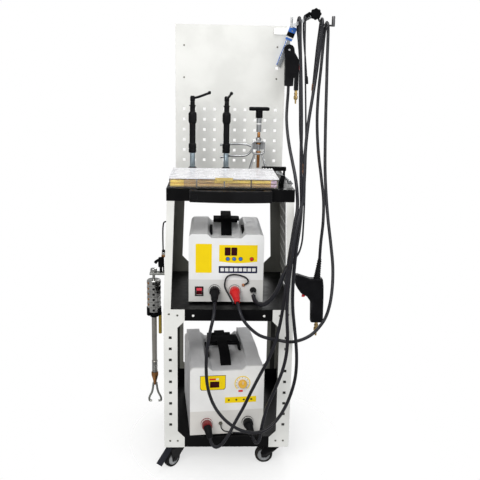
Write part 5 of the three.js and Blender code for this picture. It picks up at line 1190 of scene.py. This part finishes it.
for label, finish, forms in (
        ("plate", pale_steel, hook_forms),
        ("rod", strap_plastic, [
            swept(curve_points(rod, 8), 2.6, 18),
            hung([[0, 709], [5, 709], [6, 710], [6, 716], [5, 717.6], [0, 717.6]], rod_x, rod_y)]),
        ("knob", strap_plastic, [
            hung([[0, 656], [8, 656], [9.6, 658], [10, 664], [10, 686], [9, 690], [8, 692], [0, 692]], knob_x),
            hung([[0, 631], [5, 631], [5, 662], [0, 662]], knob_x),
            swept(curve_points(wing, 8), [5] * 9 + [5.2, 5.4, 5.6, 5.8, 6, 6, 5.6, 4.4])]),
        ("rings", worn_brass, [hung([[0, 691], [7.6, 691], [8, 692], [8, 697], [7, 698], [7, 700], [0, 700]],
                                    rod_x, rod_y)]),
        ("spacer", turned_steel, [hung([[0, 699.6], [6.6, 699.6], [7, 700.6], [7, 707.4], [6, 708.8],
                                        [0, 708.8]], rod_x, rod_y)])):
    fixed(f"tool_hook_{label}", finish, forms, ["tool_hook_left"])

# Organizer box
# A clear plastic box with cells full of brass and copper pulling studs, under a hinged lid.
clear_plastic = Finish("clear_plastic", "clear_plastic", IOR=1.3, Transmission_Weight=0.96)
haze = clear_plastic.limits(clear_plastic.noise(30, 5), 0.3, 0.7)
clear_plastic.set(Base_Color=clear_plastic.mix(haze, (0.99, 0.985, 0.96), (0.95, 0.94, 0.9)),
                  Roughness=clear_plastic.limits(haze, 0.0, 1.0, 0.04, 0.1))
clear_plastic.bump(clear_plastic.noise(260, 2), 0.00003, 0.2)
milky_plastic = Finish("milky_plastic", "clear_plastic", IOR=1.49, Transmission_Weight=0.22)
haze = milky_plastic.limits(milky_plastic.noise(30, 5), 0.3, 0.7)
lines = milky_plastic.limits(milky_plastic.noise(1, 3, milky_plastic.scaled(0.8, 130, 0.8)), 0.55, 0.68)
catch = milky_plastic.along("Y") < metres(0, 7.9, 0).y
milky = milky_plastic.mix(haze, (0.93, 0.93, 0.96), (0.9, 0.9, 0.93))
milky = milky_plastic.mix(lines * 0.3, milky, (0.68, 0.67, 0.74))
milky_plastic.set(Base_Color=milky_plastic.mix(catch, milky, (0.66, 0.5, 0.16)),
                  Roughness=milky_plastic.limits(haze, 0.0, 1.0, 0.2, 0.34))
milky_plastic.bump(milky_plastic.noise(260, 2), 0.00005, 0.3)
fixed("organizer_tub", clear_plastic, [cad_forms("organizer_box", 0.6)], ["organizer_box"])
piece("organizer_cover", "lid", milky_plastic, [cad_forms("organizer_lid", 0.8)], ["organizer_lid"])
box_left, box_front, box_wide, box_deep, wall = -193, 8, 347, 230, 2
cell_wide, cell_deep = (box_wide - 5 * wall) / 4, (box_deep - 3 * wall) / 2

# Rows of washers stand on edge along the box's front wall, but not in its dividers
washer_tree = copier("washer_rows", rod_of(24), Radius=0.0056, Length=0.0019)
gold = brushed("gold_washers", "bare_steel", (0.98, 0.72, 0.12), (0.8, 0.58, 0.1), 0.42, 0.2)
bronze = brushed("bronze_washers", "bare_steel", (0.6, 0.39, 0.15), (0.46, 0.29, 0.11), 0.42, 0.2)
violet = moulded("violet_washers", "clear_plastic", (0.55, 0.4, 0.55), (0.4, 0.28, 0.42), 0.4)
rows = {"gold": [], "bronze": [], "violet": []}
first_x, washer_pitch, washer_y, low_row, high_row = -190.6, 2.25, 16.6, 6.4, 17.8
dividers = [box_left - wall / 2 + column * (cell_wide + wall) for column in range(5)]
for index in range(150):
    x = first_x + washer_pitch * index
    if x > 149 or any(abs(x - divider) < wall for divider in dividers):
        continue
    for height in (low_row, high_row):
        kind = "violet" if x > 128 else "gold" if x < -150 or (x > -52 and height == high_row) else "bronze"
        rows[kind].append(((x, washer_y, tray_floor + wall + height), (1, 0, 0)))
for kind, finish in (("gold", gold), ("bronze", bronze), ("violet", violet)):
    repeated(f"organizer_{kind}_washers", finish, rows[kind], washer_tree)


def tumbled(node, given):
    """Any turn about the upright axis and a nearly lying one about the others."""
    spin = node("FunctionNodeRandomValue", {"data_type": "FLOAT_VECTOR"}, Seed=given["Seed"])
    for socket in spin.node.inputs:
        if socket.type == "VECTOR":
            socket.default_value = {"Min": (1.25, 0, 0), "Max": (1.75, 0.4, 6.28)}[socket.name]
    return spin


# Studs lie loose in every cell, brass ones and copper ones mixed
stud_tree = copier("loose_studs", rod_of(10), tumbled, Seed=7, Radius=0.0032, Length=0.016)
studs_in_cell, margin = 46, 11
random.seed(11)
for label, finish, share, seed in (("brass", brass, 0.62, 3), ("copper", copper, 1.0, 9)):
    loose = []
    for column in range(4):
        for row in range(2):
            for _ in range(studs_in_cell):
                along = random.uniform(margin, cell_wide - margin)
                deep = random.uniform(margin, cell_deep - margin)
                high = random.uniform(6.5, 19)
                if random.random() < share:
                    x = box_left + column * (cell_wide + wall) + along
                    y = box_front + wall + row * (cell_deep + wall) + deep
                    loose.append(((x, y, tray_floor + high), FRONT))
    repeated(f"organizer_{label}_studs", finish, loose, stud_tree, Seed=seed)

# Bar and clamp on the top tray
# A black bar with white dots on two feet behind the organizer, and a small black clamp with a
# chromed jaw at its right, standing loose on the tray.
bar_front, bar_foot = 254, tray_floor + 25.3
bar_forms = [softened(prism(oblong(116, bar_front, 202, bar_front + 18), 13.4, "floor", bar_foot), 1.4, 3)]
bar_forms += [prism(oblong(x, bar_front + 4, x + 7, bar_front + 14), 26.4, "floor", tray_floor - 0.1)
              for x in (120, 192)]
clamp = prism([(156, tray_floor), (174, tray_floor), (174, 1006), (178, 1018), (177, 1025), (165, 1025),
               (160, 1008)], 18, "front", 54)
jaw = curve_points([(148, 66, 1036), (160, 64, 1029), (176, 62, 1019), (190, 61, 1007), (202, 60, 997)], 8)
jaw_screw = lathe([[0, -7], [5, -7], [6.4, -5.4], [6.4, 5.4], [5, 7], [0, 7]])
fixed("tray_bar", strap_plastic, bar_forms)
repeated("tray_bar_dots", white_nylon, [((x, bar_front, 1019.5), FRONT) for x in (121, 131, 142, 150)],
         screw_tree, Radius=0.0036, Height=0.0012)
fixed("tray_clamp", strap_plastic, [softened(clamp, 2, 3)])
fixed("tray_clamp_jaw", chrome, [swept(jaw, 3.4, 18), placed(jaw_screw, 192, 61, 1004, tip=(0, 1, 0))])

# Floor and light
# A plain pale floor that fades into the backdrop, with soft studio lamps.
floor_mesh = bpy.data.meshes.new("floor")
floor_mesh.from_pydata([(-6, -5, 0), (6, -5, 0), (6, 7, 0), (-6, 7, 0)], [], [(0, 1, 2, 3)])
floor = shown("floor", floor_mesh)
floor_paint = Finish("floor_paint", None, Roughness=0.9)
away = floor_paint.node("ShaderNodeVectorMath", {"operation": "LENGTH"}, floor_paint.here, out="Value")
fade = floor_paint.node("ShaderNodeMapRange", None, away, From_Min=0.2, From_Max=0.75, To_Min=0.4, To_Max=0)
floor_paint.set(Base_Color=(0.97, 0.97, 0.97), Alpha=fade)
floor_mesh.materials.append(floor_paint.material)

world = bpy.data.worlds.new("studio")
scene.world = world
world.use_nodes = True
sky = world.node_tree
backdrop = sky.nodes["Background"]
backdrop.inputs["Color"].default_value = (1, 1, 1, 1)
rays = sky.nodes.new("ShaderNodeLightPath")
strength = None
for ray, gain in (("Is Camera Ray", 0.5), ("Is Transmission Ray", 0.65), ("Is Glossy Ray", -0.13)):
    step = sky.nodes.new("ShaderNodeMath")
    step.operation = "MULTIPLY_ADD"
    step.inputs[1].default_value = gain
    step.inputs[2].default_value = 0.5
    sky.links.new(rays.outputs[ray], step.inputs[0])
    if strength:
        sky.links.new(strength, step.inputs[2])
    strength = step.outputs[0]
sky.links.new(strength, backdrop.inputs["Strength"])

for label, place, size, watts, tone in (
        ("key", (-1.1, -2.7, 2.35), 1.6, 60, (1, 0.985, 0.96)),
        ("fill", (2.2, -1.8, 1.7), 1.8, 23, (0.96, 0.98, 1)),
        ("top", (0.1, 0.1, 3.2), 1.8, 30, (1, 1, 1)),
        ("back", (0.6, 2.4, 2.2), 1.6, 24, (1, 1, 1))):
    lamp_data = bpy.data.lights.new(label, "AREA")
    lamp_data.shape = "SQUARE"
    lamp_data.size = size
    lamp_data.energy = watts
    lamp_data.color = tone
    lamp = shown(label, lamp_data)
    lamp.location = place
    lamp.rotation_euler = (Vector((0, 0, 0.8)) - Vector(place)).to_track_quat("-Z", "Y").to_euler()
scene.view_settings.view_transform = "Standard"
